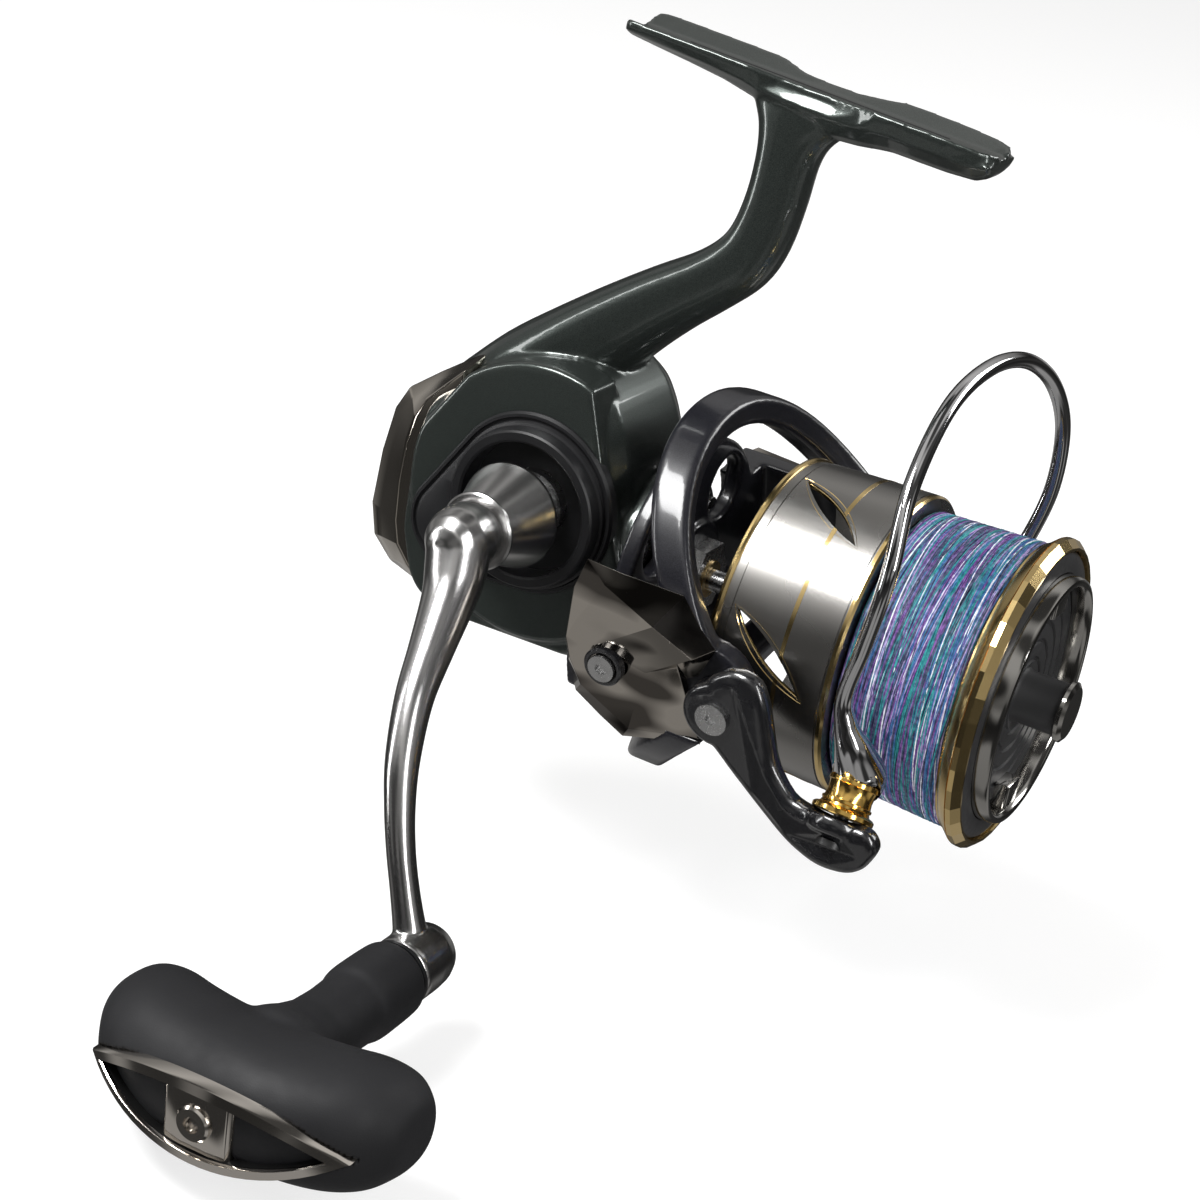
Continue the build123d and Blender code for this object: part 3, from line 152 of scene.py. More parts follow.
def make_materials():
    mats = {}

    def add(key, m):
        mats[key] = m
        return m

    m = add("body_paint", shader("body_paint", (0.05, 0.06, 0.055), 0.7, 0.3, 0.6, 0.05))
    tint(m, 9000, (0.030, 0.036, 0.033), (0.056, 0.066, 0.061))
    m = add("pocket_black", shader("pocket_black", (0.003, 0.003, 0.003), 0.0, 0.5, spec=0.12))
    vary(m, 300, 0.45, 0.55)
    m = add("plate_black", shader("plate_black", (0.008, 0.008, 0.0088), 0.0, 0.42, spec=0.3))
    vary(m, 300, 0.38, 0.46)
    m = add("guard_chrome", shader("guard_chrome", (0.60, 0.55, 0.48), 1.0, 0.12))
    vary(m, 60, 0.10, 0.14)
    bumps(m, 60, 0.3, 0.0008, detail=0.5)
    m = add("polished_alloy", shader("polished_alloy", (0.46, 0.455, 0.45), 1.0, 0.24))
    vary(m, 60, 0.22, 0.26)
    m = add("grip_rubber", shader("grip_rubber", (0.008, 0.008, 0.0092), 0.0, 0.6, spec=0.28))
    vary(m, 120, 0.55, 0.72)
    bumps(m, 4200, 0.25)
    m = add("cap_chrome", shader("cap_chrome", (0.66, 0.62, 0.57), 1.0, 0.12))
    vary(m, 60, 0.11, 0.13)
    m = add("rotor_black",
            shader("rotor_black", (0.005, 0.005, 0.0065), 0.0, 0.3, 0.45, 0.08, spec=0.35))
    tint(m, 7000, (0.004, 0.004, 0.006), (0.014, 0.014, 0.018))
    m = add("cover_chrome", shader("cover_chrome", (0.42, 0.385, 0.35), 1.0, 0.07))
    vary(m, 60, 0.06, 0.08)
    # Dark brown and bright patches in the cover's base colour: painted reflection of the surroundings on the
    # chrome.
    tint(m, 95, (0.10, 0.09, 0.08), (0.52, 0.48, 0.43), detail=1.0, stretch=(0.7, 1, 1.6),
         spread=(0.44, 0.55))
    bumps(m, 75, 0.4, 0.0008, detail=0.5)
    m = add("lever_black", shader("lever_black", (0.006, 0.006, 0.007), 0.0, 0.22, 0.8, 0.06))
    vary(m, 300, 0.18, 0.3)
    m = add("wire_chrome", shader("wire_chrome", (0.62, 0.62, 0.63), 1.0, 0.08))
    vary(m, 60, 0.07, 0.09)
    m = add("holder_chrome", shader("holder_chrome", (0.62, 0.62, 0.62), 1.0, 0.1))
    vary(m, 260, 0.07, 0.14)
    m = add("roller_gold", shader("roller_gold", (0.9, 0.58, 0.16), 1.0, 0.12))
    vary(m, 400, 0.09, 0.17)
    m = add("lip_gold", shader("lip_gold", (0.83, 0.62, 0.28), 1.0, 0.16))
    vary(m, 60, 0.14, 0.18)
    m = add("spool_alloy", shader("spool_alloy", (0.34, 0.33, 0.315), 1.0, 0.27))
    vary(m, 60, 0.25, 0.29)
    m = add("knob_black", shader("knob_black", (0.02, 0.02, 0.021), 0.0, 0.5))
    vary(m, 300, 0.42, 0.55)
    m = add("trim_chrome", shader("trim_chrome", (0.4, 0.39, 0.37), 1.0, 0.12))
    vary(m, 60, 0.11, 0.13)
    m = add("steel", shader("steel", (0.6, 0.6, 0.6), 1.0, 0.25))
    vary(m, 600, 0.2, 0.32)
    m = add("screw_black", shader("screw_black", (0.03, 0.03, 0.03), 0.6, 0.35))
    vary(m, 600, 0.3, 0.42)
    m = add("brass", shader("brass", (0.72, 0.53, 0.26), 1.0, 0.3))
    vary(m, 600, 0.25, 0.36)
    m = add("felt", shader("felt", (0.1, 0.1, 0.1), 0.0, 0.9))
    tint(m, 2500, (0.07, 0.07, 0.07), (0.14, 0.14, 0.14))
    m = add("bush_plastic", shader("bush_plastic", (0.75, 0.75, 0.72), 0.0, 0.5))
    vary(m, 500, 0.45, 0.55)
    m = add("braid", shader("braid", (0.4, 0.45, 0.6), 0.0, 0.5))
    # The core's dark colour showing between the strands is painted shade in the gaps between them.
    tint(m, 900, (0.012, 0.03, 0.06), (0.05, 0.03, 0.09), stretch=(1, 0.1, 0.1))
    for key, a, b in (("braid_blue", (0.02, 0.08, 0.22), (0.05, 0.16, 0.34)),
                      ("braid_teal", (0.01, 0.14, 0.17), (0.03, 0.26, 0.27)),
                      ("braid_purple", (0.09, 0.035, 0.17), (0.19, 0.08, 0.30)), ("braid_lilac",
                                                                                  (0.20, 0.16, 0.36),
                                                                                  (0.36, 0.30, 0.52)),
                      ("braid_slate", (0.02, 0.03, 0.07), (0.07, 0.08, 0.15)), ("braid_white",
                                                                                (0.5, 0.52, 0.6),
                                                                                (0.7, 0.72, 0.76))):
        m = add(key, shader(key, a, 0.0, 0.5, spec=0.3))
        tint(m, 1500, a, b)
    for key, like in (("bearing_steel", "steel"), ("clutch_steel", "steel"), ("gear_alloy", "steel"),
                      ("slider_alloy", "steel"), ("screw_steel", "steel"), ("washer_black",
                                                                            "plate_black")):
        m = mats[like].copy()
        m.name = key
        mats[key] = m
    return mats


def soft_edges(me, angle):
    """Smooth shading with edges kept sharp past an angle in degrees."""
    me.polygons.foreach_set("use_smooth", [True] * len(me.polygons))
    me.set_sharp_from_angle(angle=math.radians(angle))


MATS = make_materials()
for sub in frame["record"]["subparts"]:
    o = frame["nodes"][sub["node"]]
    o.data.materials.clear()
    o.data.materials.append(MATS["steel" if sub["node"] == "bail_pivot_screws" else sub["material_slot"]])
    soft_edges(o.data, 28)


# ---- mesh building -----------------------------------------------------------
def piece(name, verts, faces, at, body, mat, replaces=(), slot=None, angle=30, face_mats=None,
          bevel=0.0):
    """New mesh from points in the local frame `at`, riding on a body."""
    me = bpy.data.meshes.new(name)
    me.from_pydata([tuple(at @ Vector(v)) for v in verts], [], faces)
    bm = bmesh.new()
    bm.from_mesh(me)
    bmesh.ops.remove_doubles(bm, verts=bm.verts, dist=1e-7)
    bmesh.ops.recalc_face_normals(bm, faces=bm.faces)
    bm.to_mesh(me)
    bm.free()
    o = bpy.data.objects.new(name, me)
    bpy.context.scene.collection.objects.link(o)
    for key in ([mat] if isinstance(mat, str) else mat):
        me.materials.append(MATS[key])
    if face_mats:
        me.polygons.foreach_set("material_index", face_mats[:len(me.polygons)])
    if bevel:
        b = o.modifiers.new("bevel", "BEVEL")
        b.width, b.segments = bevel * MM, 3
        b.limit_method, b.angle_limit = "ANGLE", math.radians(22)
    apply_all(o)
    soft_edges(o.data, angle)
    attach(o, body)
    if replaces:
        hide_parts(*replaces)
    return o


def apply_all(o):
    """Turn the object's modifiers into its mesh."""
    if not o.modifiers:
        return
    bpy.context.view_layer.update()
    deps = bpy.context.evaluated_depsgraph_get()
    me = bpy.data.meshes.new_from_object(o.evaluated_get(deps))
    old = o.data
    o.modifiers.clear()
    o.data = me
    bpy.data.meshes.remove(old)


def loft(rings, loop=False, caps=True):
    """Quads between equal rings of points; loop joins the last ring to the first."""
    n, verts, faces = len(rings[0]), [p for r in rings for p in r], []
    for i in range(len(rings) if loop else len(rings) - 1):
        a, b = i * n, (i + 1) % len(rings) * n
        faces += [(a + k, a + (k + 1) % n, b + (k + 1) % n, b + k) for k in range(n)]
    if caps and not loop:
        faces += [tuple(range(n)), tuple(range((len(rings) - 1) * n, len(rings) * n))[::-1]]
    return verts, faces


def turned(profile, n=96, axis="X"):
    """Turned form about an axis from (along, radius) points."""
    rings = []
    for k in range(n):
        a = 2 * math.pi * k / n
        if axis == "X":
            rings.append([(x, r * math.cos(a), r * math.sin(a)) for x, r in profile])
        elif axis == "Y":
            rings.append([(r * math.cos(a), y, r * math.sin(a)) for y, r in profile])
        else:
            rings.append([(r * math.cos(a), r * math.sin(a), z) for z, r in profile])
    verts, m, faces = [p for r in rings for p in r], len(profile), []
    for i in range(n):
        a, b = i * m, (i + 1) % n * m
        for k in range(m):
            faces.append((a + k, a + (k + 1) % m, b + (k + 1) % m, b + k))
    return verts, faces


def rounded(points, radius, steps=4):
    """Closed outline with its corners rounded."""
    out, n = [], len(points)
    for i, p in enumerate(points):
        p, a, b = Vector(p), Vector(points[i - 1]), Vector(points[(i + 1) % n])
        u, v = (a - p), (b - p)
        cut = min(radius, 0.45 * u.length, 0.45 * v.length)
        s, e = p + u.normalized() * cut, p + v.normalized() * cut
        for k in range(steps + 1):
            t = k / steps
            out.append(tuple(s * (1 - t) ** 2 + p * 2 * t * (1 - t) + e * t ** 2))
    return out


def resample(points, n):
    """n points evenly spaced round a closed outline."""
    pts = [Vector(p) for p in points] + [Vector(points[0])]
    at = [0.0]
    for a, b in zip(pts, pts[1:]):
        at.append(at[-1] + (b - a).length)
    out, j = [], 0
    for k in range(n):
        s = at[-1] * k / n
        while j < len(pts) - 2 and at[j + 1] < s:
            j += 1
        t = (s - at[j]) / max(at[j + 1] - at[j], 1e-9)
        out.append(tuple(pts[j].lerp(pts[j + 1], min(max(t, 0), 1))))
    return out


def interpolate(rows, per=6):
    """Smooth table: each row is a tuple of numbers, filled in between by curves."""
    cols = list(zip(*rows))
    out_cols = []
    for col in cols:
        vals = []
        for i in range(len(col) - 1):
            p0, p1, p2, p3 = col[max(i - 1, 0)], col[i], col[i + 1], col[min(i + 2, len(col) - 1)]
            for k in range(per):
                t = k / per
                vals.append(0.5 * (2 * p1 + (p2 - p0) * t + (2 * p0 - 5 * p1 + 4 * p2 - p3) * t * t
                                   + (3 * p1 - p0 - 3 * p2 + p3) * t ** 3))
        out_cols.append(vals + [col[-1]])
    return list(zip(*out_cols))


def tube(path, radius, n):
    """Round bar along a path; radius is a number or one per point."""
    pts = [Vector(p) for p in path]
    rings, up = [], None
    for i, p in enumerate(pts):
        t = (pts[min(i + 1, len(pts) - 1)] - pts[max(i - 1, 0)]).normalized()
        if up is None:
            up = t.orthogonal().normalized()
        up = (up - t * up.dot(t)).normalized()
        side = t.cross(up)
        r = radius[i] if hasattr(radius, "__len__") else radius
        rings.append([tuple(p + (up * math.cos(a) + side * math.sin(a)) * r)
                      for a in (2 * math.pi * k / n for k in range(n))])
    return rings


def join(*parts):
    """One vertex and face list out of several."""
    verts, faces = [], []
    for v, f in parts:
        base = len(verts)
        verts += v
        faces += [tuple(base + i for i in face) for face in f]
    return verts, faces


def fuse(o, voxel, passes):
    """Melt the object's overlapping solids into one skin with soft fillets."""
    r = o.modifiers.new("fuse", "REMESH")
    r.mode, r.voxel_size, r.adaptivity = "VOXEL", voxel * MM, 0.0
    s = o.modifiers.new("soften", "SMOOTH")
    s.factor, s.iterations = 0.5, passes
    apply_all(o)
    o.data.polygons.foreach_set("use_smooth", [True] * len(o.data.polygons))


# ---- frame: foot, leg, gear case ---------------------------------------------
SEAT_TILT = math.radians(4.5)
COLLAR_SEAT, COLLAR_R = 0.0125, 0.0118


def superellipse(a, b, n, power):
    """Closed outline between an oval and a rectangle."""
    out = []
    for k in range(n):
        t = 2 * math.pi * k / n
        c, s = math.cos(t), math.sin(t)
        out.append((a * math.copysign(abs(c) ** (2 / power), c),
                    b * math.copysign(abs(s) ** (2 / power), s)))
    return out


def foot_rings():
    """Cross-sections of the foot along X, seat hollow above, keel below."""
    rings = []
    rows = [
        (-31.5, 5.6, 1.25, 1.6), (-30.6, 6.3, 1.35, 1.8), (-27.0, 6.6, 1.4, 2.2),
        (-15.0, 6.6, 1.4, 3.3), (-9.4, 6.55, 1.35, 4.3), (-8.0, 6.1, 1.2, 4.8), (-4.4, 4.5, 0.75, 5.6),
        (0.0, 4.25, 0.6, 6.0), (5.0, 4.3, 0.65, 6.0), (9.5, 5.4, 1.0, 5.6), (12.4, 6.45, 1.3, 5.1),
        (15.0, 6.55, 1.35, 4.7), (24.0, 6.3, 1.25, 4.6), (28.8, 5.7, 1.1, 4.2), (30.6, 4.6, 0.95, 3.2),
        (31.3, 3.2, 0.8, 2.4), (31.5, 2.0, 0.7, 1.8)
    ]
    for x, half, rise, deep in rows:
        side = [
            (1.0, 0.0), (1.3, 0.04), (half - 0.7, rise), (half - 0.25, rise + 0.05),
            (half, rise - 0.3), (half - 0.1, rise - 0.9)
        ]
        waist = max(0.0, 6.6 - half) * 0.8
        side += [(half * 0.86 + waist, -0.4 * deep + 0.3), (half * 0.5 + waist, -0.8 * deep),
                 (half * 0.22 + waist * 0.5, -deep)]
        ring = side + [(-y, z) for y, z in side[::-1]]
        rings.append([(x, y, z) for y, z in ring])
    return rings


def leg_rings():
    """Leg from the foot down to the gear case: (x, z, depth, half width, direction x, z)."""
    rows = [
        (-0.6, -1.4, 9.5, 4.4, 0.0, -1.0), (-0.9, -4.2, 8.3, 4.8, -0.05, -1.0),
        (-1.9, -7.4, 5.9, 4.9, -0.1, -1.0), (-2.4, -11.5, 4.75, 4.9, -0.05, -1.0),
        (-2.9, -18.0, 4.55, 5.0, -0.1, -1.0), (-4.2, -24.6, 4.7, 5.3, -0.3, -1.0),
        (-6.6, -29.4, 5.0, 5.7, -0.65, -0.85), (-11.2, -33.9, 5.2, 6.3, -0.8, -0.66),
        (-17.6, -38.9, 5.9, 7.2, -0.78, -0.65), (-24.6, -45.0, 6.9, 8.6, -0.74, -0.67),
        (-31.2, -51.6, 8.2, 10.4, -0.74, -0.67), (-38.0, -58.6, 9.3, 11.2, -0.74, -0.67),
        (-45.6, -65.8, 8.9, 10.2, -0.74, -0.67)
    ]
    rings = []
    for x, z, depth, half, dx, dz in interpolate(rows, 4):
        t = Vector((dx, 0, dz)).normalized()
        across = Vector((-t.z, 0, t.x))
        ring = []
        for u, v in superellipse(1.0, 1.0, 32, 2.7):
            y = u * half * (1.0 - 0.12 * v)
            p = Vector((x, y, z)) + across * (v * depth)
            ring.append(tuple(p))
        rings.append(ring)
    return rings


CASE = [
    (-50.2, -61.5), (-43.5, -56.0), (-34.0, -51.4), (-26.5, -50.0), (-22.4, -51.2), (-18.8, -54.4),
    (-15.8, -59.4), (-13.2, -65.4), (-12.2, -72.0), (-12.0, -97.4), (-14.0, -99.6), (-43.5, -100.4),
    (-48.6, -97.6), (-50.4, -94.5), (-52.3, -86.0), (-52.3, -71.0)
]
FACE = [
    (-49.4, -63.8), (-44.0, -59.8), (-36.0, -55.4), (-28.0, -53.4), (-24.5, -53.4), (-21.2, -55.2),
    (-18.6, -59.0), (-16.4, -64.6), (-14.8, -71.6), (-14.8, -94.8), (-17.4, -97.4), (-42.6, -98.2),
    (-46.8, -95.8), (-48.6, -93.4), (-51.0, -86.0), (-51.0, -72.0)
]


def case_rings():
    """Gear case: outline at stations across it, narrower towards both faces."""
    shell, face = rounded(CASE, 2.0, 3), rounded(FACE, 2.0, 3)
    rings = []
    for y, mix in ((-17.0, 1.0), (-16.4, 0.82), (-12.2, 0.1), (-11.4, 0.0), (6.6, 0.0), (7.4, 0.1),
                   (11.0, 0.82), (11.6, 1.0)):
        rings.append([(a[0] * (1 - mix) + b[0] * mix, y,
                       a[1] * (1 - mix) + b[1] * mix) for a, b in zip(shell, face)])
    return rings


def relief_rings():
    """Raised round field behind the side plate, cut off at the front and the rear seam."""
    hx, hz, r, outline = HUB_AT.x / MM, HUB_AT.z / MM, 23.5, []
    for k in range(96):
        a = 2 * math.pi * k / 96
        c, s = math.cos(a), math.sin(a)
        reach = [r]
        for nx, nz, d in ((1.0, 0.34, 14.2), (-1.0, 0.0, 23.4), (-0.84, 0.54, 22.6), (0.0, -1.0, 24.2),
                          (-0.6, -0.8, 26.0)):
            n = math.hypot(nx, nz)
            f = (c * nx + s * nz) / n
            if f > 1e-3:
                reach.append(d / f)
        m = min(reach)
        outline.append((c * m, s * m))
    rings = []
    for y, k in ((-10.0, 1.0), (-17.2, 1.0), (-17.9, 0.985)):
        rings.append([(hx + u * k, y, hz + v * k) for u, v in outline])
    return rings


def make_housing():
    tilt = Matrix.Rotation(SEAT_TILT, 4, "Y")
    foot = loft([[tuple(tilt @ Vector(p)) for p in ring] for ring in foot_rings()])
    nose = turned([(-20.0, 0.0), (-20.0, 16.4), (-10.8, 16.4), (-10.3, 15.9), (-10.3, 0.0)], 72)
    nose = ([(x, y, z + SPOOL_AT.z / MM) for x, y, z in nose[0]], nose[1])
    verts, faces = join(foot, loft(leg_rings()), loft(case_rings()), loft(relief_rings()), nose)
    o = piece("reel_frame", verts, faces, ROW, "frame", "body_paint", ["frame_housing"], "body_paint")
    fuse(o, 0.36, 4)
    sink_hub(o)
    # Thin dark strip flush with the seat floor: painted shade standing in for the groove along the foot.
    groove = [(-22.6, -0.22), (22.6, -0.22), (22.6, 0.22), (-22.6, 0.22)]
    rings = [[tuple(tilt @ Vector((x, y, z))) for x, y in groove] for z in (-0.4, 0.03)]
    piece("seat_line", *loft(rings), ROW, "frame", "plate_black", slot="plate_black")


def cut_out(o, solid, at, angle):
    """Subtract a closed form from an object."""
    me = bpy.data.meshes.new("cutter")
    me.from_pydata([tuple(at @ Vector(v)) for v in solid[0]], [], solid[1])
    cutter = bpy.data.objects.new("cutter", me)
    bpy.context.scene.collection.objects.link(cutter)
    bm = bmesh.new()
    bm.from_mesh(me)
    bmesh.ops.recalc_face_normals(bm, faces=bm.faces)
    bm.to_mesh(me)
    bm.free()
    b = o.modifiers.new("cut", "BOOLEAN")
    b.operation, b.object, b.solver = "DIFFERENCE", cutter, "EXACT"
    apply_all(o)
    soft_edges(o.data, angle)
    bpy.data.objects.remove(cutter)


def sink_hub(o):
    """Sink the housing under the side plate's collar, where the handle shaft comes out."""
    for v in o.data.vertices:
        if v.co.y < -COLLAR_SEAT and math.hypot(v.co.x - HUB_AT.x, v.co.z - HUB_AT.z) < COLLAR_R:
            v.co.y = -COLLAR_SEAT


GUARD_TOP = [
    (-44.6, -54.6), (-48.0, -57.0), (-53.2, -60.9), (-58.8, -65.4), (-61.0, -69.8), (-62.4, -78.0),
    (-63.0, -88.0), (-61.7, -93.6), (-57.8, -97.3), (-49.6, -99.7), (-44.2, -100.2)
]
GUARD_RIM = [
    (-44.9, -56.6), (-47.6, -59.6), (-51.4, -63.9), (-52.9, -67.2), (-53.7, -72.0), (-54.0, -79.4),
    (-53.6, -86.4), (-52.6, -90.4), (-50.2, -93.4), (-47.2, -96.0), (-44.6, -97.6)
]


def make_guard():
    """Bright cap wrapped round the back of the gear case, with a ridge along each side."""
    stations = [
        (-15.2, 1.0), (-14.6, 0.9), (-10.6, 0.36), (-8.2, 0.0), (5.7, 0.0), (8.1, 0.36), (11.1, 0.93),
        (11.8, 1.0)
    ]
    rings = []
    for y, mix in stations:
        outer = [(a[0] * (1 - mix) + b[0] * mix, y,
                  a[1] * (1 - mix) + b[1] * mix) for a, b in zip(GUARD_TOP, GUARD_RIM)]
        rings.append(outer + [(-44.0, y, -84.0), (-44.0, y, -70.0)])
    o = piece("rear_guard_shell", *loft(rings), ROW, "frame", "guard_chrome", ["rear_guard"],
              "guard_chrome", angle=12, bevel=0.4)
    inside = [
        (-43.5, -72.0), (-57.2, -72.0), (-58.9, -74.0), (-60.4, -80.0), (-61.0, -88.0), (-60.0, -92.6),
        (-57.0, -95.2), (-43.5, -95.2)
    ]
    cut_out(o, loft([[(x, y, z) for x, z in inside] for y in (-9.6, 7.2)]), ROW, 14)


EGG = ((-27.5, -73.4, 15.3), (-41.3, -81.6, 8.0))


def egg_ring(shrink, y, n=128):
    """Outline round two circles at height y."""
    (x0, z0, r0), (x1, z1, r1) = EGG
    r0, r1 = r0 - shrink, r1 - shrink
    pts = []
    for k in range(n):
        a = 2 * math.pi * k / n
        u = (math.cos(a), math.sin(a))
        s0, s1 = x0 * u[0] + z0 * u[1] + r0, x1 * u[0] + z1 * u[1] + r1
        x, z, r = (x0, z0, r0) if s0 >= s1 else (x1, z1, r1)
        pts.append((x + r * u[0], z + r * u[1]))
    dense = resample(pts, n)
    return [(x, y, z) for x, z in dense]


def make_side_plate():
    """Matt cover with a fine groove round its edge and a deep collar."""
    hx, hz = HUB_AT.x / MM, HUB_AT.z / MM
    steps = [
        (0.0, -16.6), (0.0, -18.2), (0.35, -18.7), (0.8, -18.75), (1.0, -18.35), (1.3, -18.35),
        (1.5, -18.8), (2.0, -19.0)
    ]
    rings = [egg_ring(s, y) for s, y in steps]
    unit = [Vector((x - hx, z - hz)).normalized() for x, _, z in egg_ring(2.0, 0)]
    collar = [
        (14.0, -19.1), (13.6, -19.3), (13.2, -21.2), (12.9, -21.5), (11.7, -21.5), (11.3, -21.2),
        (11.3, -15.0), (4.2, -15.0)
    ]
    rings += [[(hx + r * u.x, y, hz + r * u.y) for u in unit] for r, y in collar]
    piece("gear_cover", *loft(rings), ROW, "frame", "plate_black", ["side_plate"], "plate_black",
          angle=24)


# ---- handle ------------------------------------------------------------------
def make_handle():
    rows = [
        (0.6, -40.0, 5.2), (4.6, -42.4, 4.9), (8.2, -45.6, 4.3), (14.1, -52.4, 3.55),
        (19.8, -58.8, 3.05), (27.4, -64.2, 2.72), (34.0, -67.0, 2.42), (40.3, -68.6, 2.28),
        (46.5, -69.4, 2.3), (52.4, -69.9, 2.62), (56.4, -70.2, 3.3)
    ]
    dense = interpolate(rows, 6)
    arm = tube([(0, y, -a) for a, y, _ in dense], [r for _, _, r in dense], 28)
    root = [
        (-35.05, 0.0), (-35.05, 5.1), (-36.0, 5.4), (-38.0, 5.55), (-40.5, 5.45), (-42.6, 4.7),
        (-44.3, 3.3), (-45.1, 1.5), (-45.2, 0.0)
    ]
    root = turned(root, 48, "Y")
    boss = turned([(-62.9, 0.0), (-63.1, 1.6), (-63.9, 3.2), (-65.4, 4.5), (-67.4, 5.2), (-70.0, 5.4),
                   (-74.2, 5.4), (-74.9, 5.0), (-74.9, 0.0)], 48, "Y")
    boss = ([(x, y, z - 57.6) for x, y, z in boss[0]], boss[1])
    o = piece("crank_arm", *join(loft(arm), root, boss), HANDLE, "handle", "polished_alloy",
              ["handle_arm"], "polished_alloy")
    fuse(o, 0.22, 24)


def bar_rows():
    """T-bar of the grip: (x, centre y, half y, half z)."""
    rows = [
        (0.0, -112.8, 11.0, 8.8), (6.0, -112.6, 10.7, 8.9), (12.0, -111.8, 10.5, 9.1),
        (17.0, -110.4, 10.2, 9.0), (21.0, -109.2, 9.0, 8.0), (23.4, -108.4, 6.9, 6.3),
        (25.0, -108.0, 4.6, 4.3), (25.4, -108.0, 1.6, 1.5)
    ]
    half = interpolate(rows, 5)
    return [(-x, y, b, c) for x, y, b, c in half[:0:-1]] + list(half)


def make_grip():
    lean = Matrix.Rotation(math.radians(2.6), 4, "Y")
    at = GRIP @ lean.inverted()
    rings = [[(x, y + v, u) for u, v in superellipse(c, b, 40, 2.3)] for x, y, b, c in bar_rows()]
    stem = [
        (-75.95, 0.0), (-75.95, 5.6), (-76.5, 6.1), (-80.0, 6.25), (-84.5, 6.3), (-86.4, 6.2),
        (-87.2, 5.75), (-92.0, 5.6), (-97.0, 5.9), (-101.0, 7.0), (-104.0, 8.2), (-106.0, 8.6),
        (-114.0, 7.0), (-114.0, 0.0)
    ]
    o = piece("grip_body", *join(loft(rings), turned(stem, 56, "Y")), at, "grip", "grip_rubber",
              ["grip_rubber"], "grip_rubber")
    fuse(o, 0.32, 30)
    cut_outer_face(o, at)
    make_cap(at)


def face_point(x, z, lift=0.0):
    """Point on the grip's crowned outer face."""
    return (x, -85.0 - math.sqrt(40.0 ** 2 - x * x) + 0.018 * z * z - lift, z)


def cut_outer_face(o, at):
    """Press the rubber's outer side onto the crowned face and sink the cap's seat."""
    back = at.inverted()
    for v in o.data.vertices:
        p = back @ v.co
        if p.y < -104 and abs(p.x) < 26:
            edge = abs(p.z) / 6.4 + (p.x / 22.0) ** 2
            face = face_point(p.x, p.z)[1]
            if edge < 1.0:
                face += 1.6
            if p.y < face:
                p.y = face
        v.co = at @ p


def lens_points(half, high, n=48):
    """Pointed oval in (x, z)."""
    r = (half * half + high * high) / (2 * high)
    top = []
    for k in range(n // 2):
        x = -half + 2 * half * k / (n // 2)
        top.append((x, math.sqrt(r * r - x * x) - (r - high)))
    return top + [(-x, -z) for x, z in top]


def make_cap(at):
    """Bright lens-shaped frame with two dark pockets and a central web."""
    outer, inner = lens_points(21.5, 6.3), lens_points(18.6, 4.7)
    rings = []
    for shape, lift, shrink in ((outer, -1.8, 1.0), (outer, 0.1, 1.0), (outer, 0.45, 0.985),
                                (inner, 0.45, 1.02), (inner, 0.2, 1.0), (inner, -6.5, 0.93)):
        rings.append([face_point(x * shrink, z * shrink, lift) for x, z in shape])
    frame_part = loft(rings, caps=False)
    floor_part = ([face_point(x * 0.93, z * 0.93, -6.5) for x, z in inner], [tuple(range(len(inner)))])
    piece("cap_frame", *frame_part, at, "grip", "cap_chrome", ["grip_cap"], "cap_chrome", angle=30)
    piece("cap_pocket", *floor_part, at, "grip", "pocket_black", slot="plate_black")
    piece("cap_lining", *loft([[face_point(x * 0.985, z * 0.985, -0.25) for x, z in inner],
                               [face_point(x * 0.935, z * 0.935, -6.4) for x, z in inner]], caps=False),
          at, "grip", "pocket_black", slot="plate_black")
    web = []
    for lift, w, h in ((-6.3, 6.2, 4.6), (-0.9, 5.6, 4.55), (-0.35, 5.0, 4.5)):
        web.append([face_point(x, z, lift) for x, z in ((-w, -h), (-w * 0.45, -h * 0.98),
                                                        (w * 0.45, -h * 0.98), (w, -h), (w, h),
                                                        (w * 0.45, h * 0.98), (-w * 0.45, h * 0.98),
                                                        (-w, h))])
    piece("cap_web", *loft(web), at, "grip", "cap_chrome", slot="cap_chrome", angle=20, bevel=0.25)
    boss = [
        (-122.6, 0.0), (-122.6, 2.9), (-124.7, 2.7), (-125.0, 2.4), (-125.0, 1.2), (-123.8, 1.05),
        (-123.8, 0.0)
    ]
    piece("cap_boss", *turned(boss, 40, "Y"), at, "grip", "cap_chrome", slot="cap_chrome", angle=30)


# ---- rotor ---------------------------------------------------------------------
def make_rotor():
    """Soft-edged skin of the rotor casting."""
    src = frame["nodes"]["rotor_frame"].data
    verts = [tuple(v.co) for v in src.vertices]
    faces = [tuple(p.vertices) for p in src.polygons]
    o = piece("rotor_casting", verts, faces, Matrix.Identity(4), "rotor", "rotor_black",
              ["rotor_frame"], "rotor_black")
    fuse(o, 0.42, 6)


COVER_FACE = [
    (-7.2, 18.6), (-0.6, 18.4), (9.8, 18.6), (13.1, 13.9), (15.9, 10.8), (13.6, -8.0), (12.2, -8.2),
    (1.4, -11.4), (-2.7, -9.2), (-7.5, -6.2), (-9.6, -1.1), (-10.1, 2.6), (-9.2, 12.7)
]
COVER_BASE = [
    (-8.9, 16.2), (-2.2, 16.0), (8.3, 16.1), (11.6, 11.4), (14.5, 8.2), (13.8, -9.8), (12.0, -10.0),
    (-0.1, -14.1), (-4.3, -11.9), (-9.2, -8.9), (-11.0, -3.7), (-11.0, 0.0), (-10.9, 10.2)
]
COVER_RIDGE = [(-3.4, 15.6), (5.6, 11.8), (12.6, 8.2), (9.4, 5.6)]
COVER_CREASE = [(-8.4, 6.8), (-5.2, 2.8), (3.8, 0.6), (8.8, 3.6)]
FACE_OUT = [32.6, 32.8, 32.8, 32.7, 32.4, 30.4, 30.4, 30.4, 30.4, 31.0, 31.8, 32.4, 32.6]


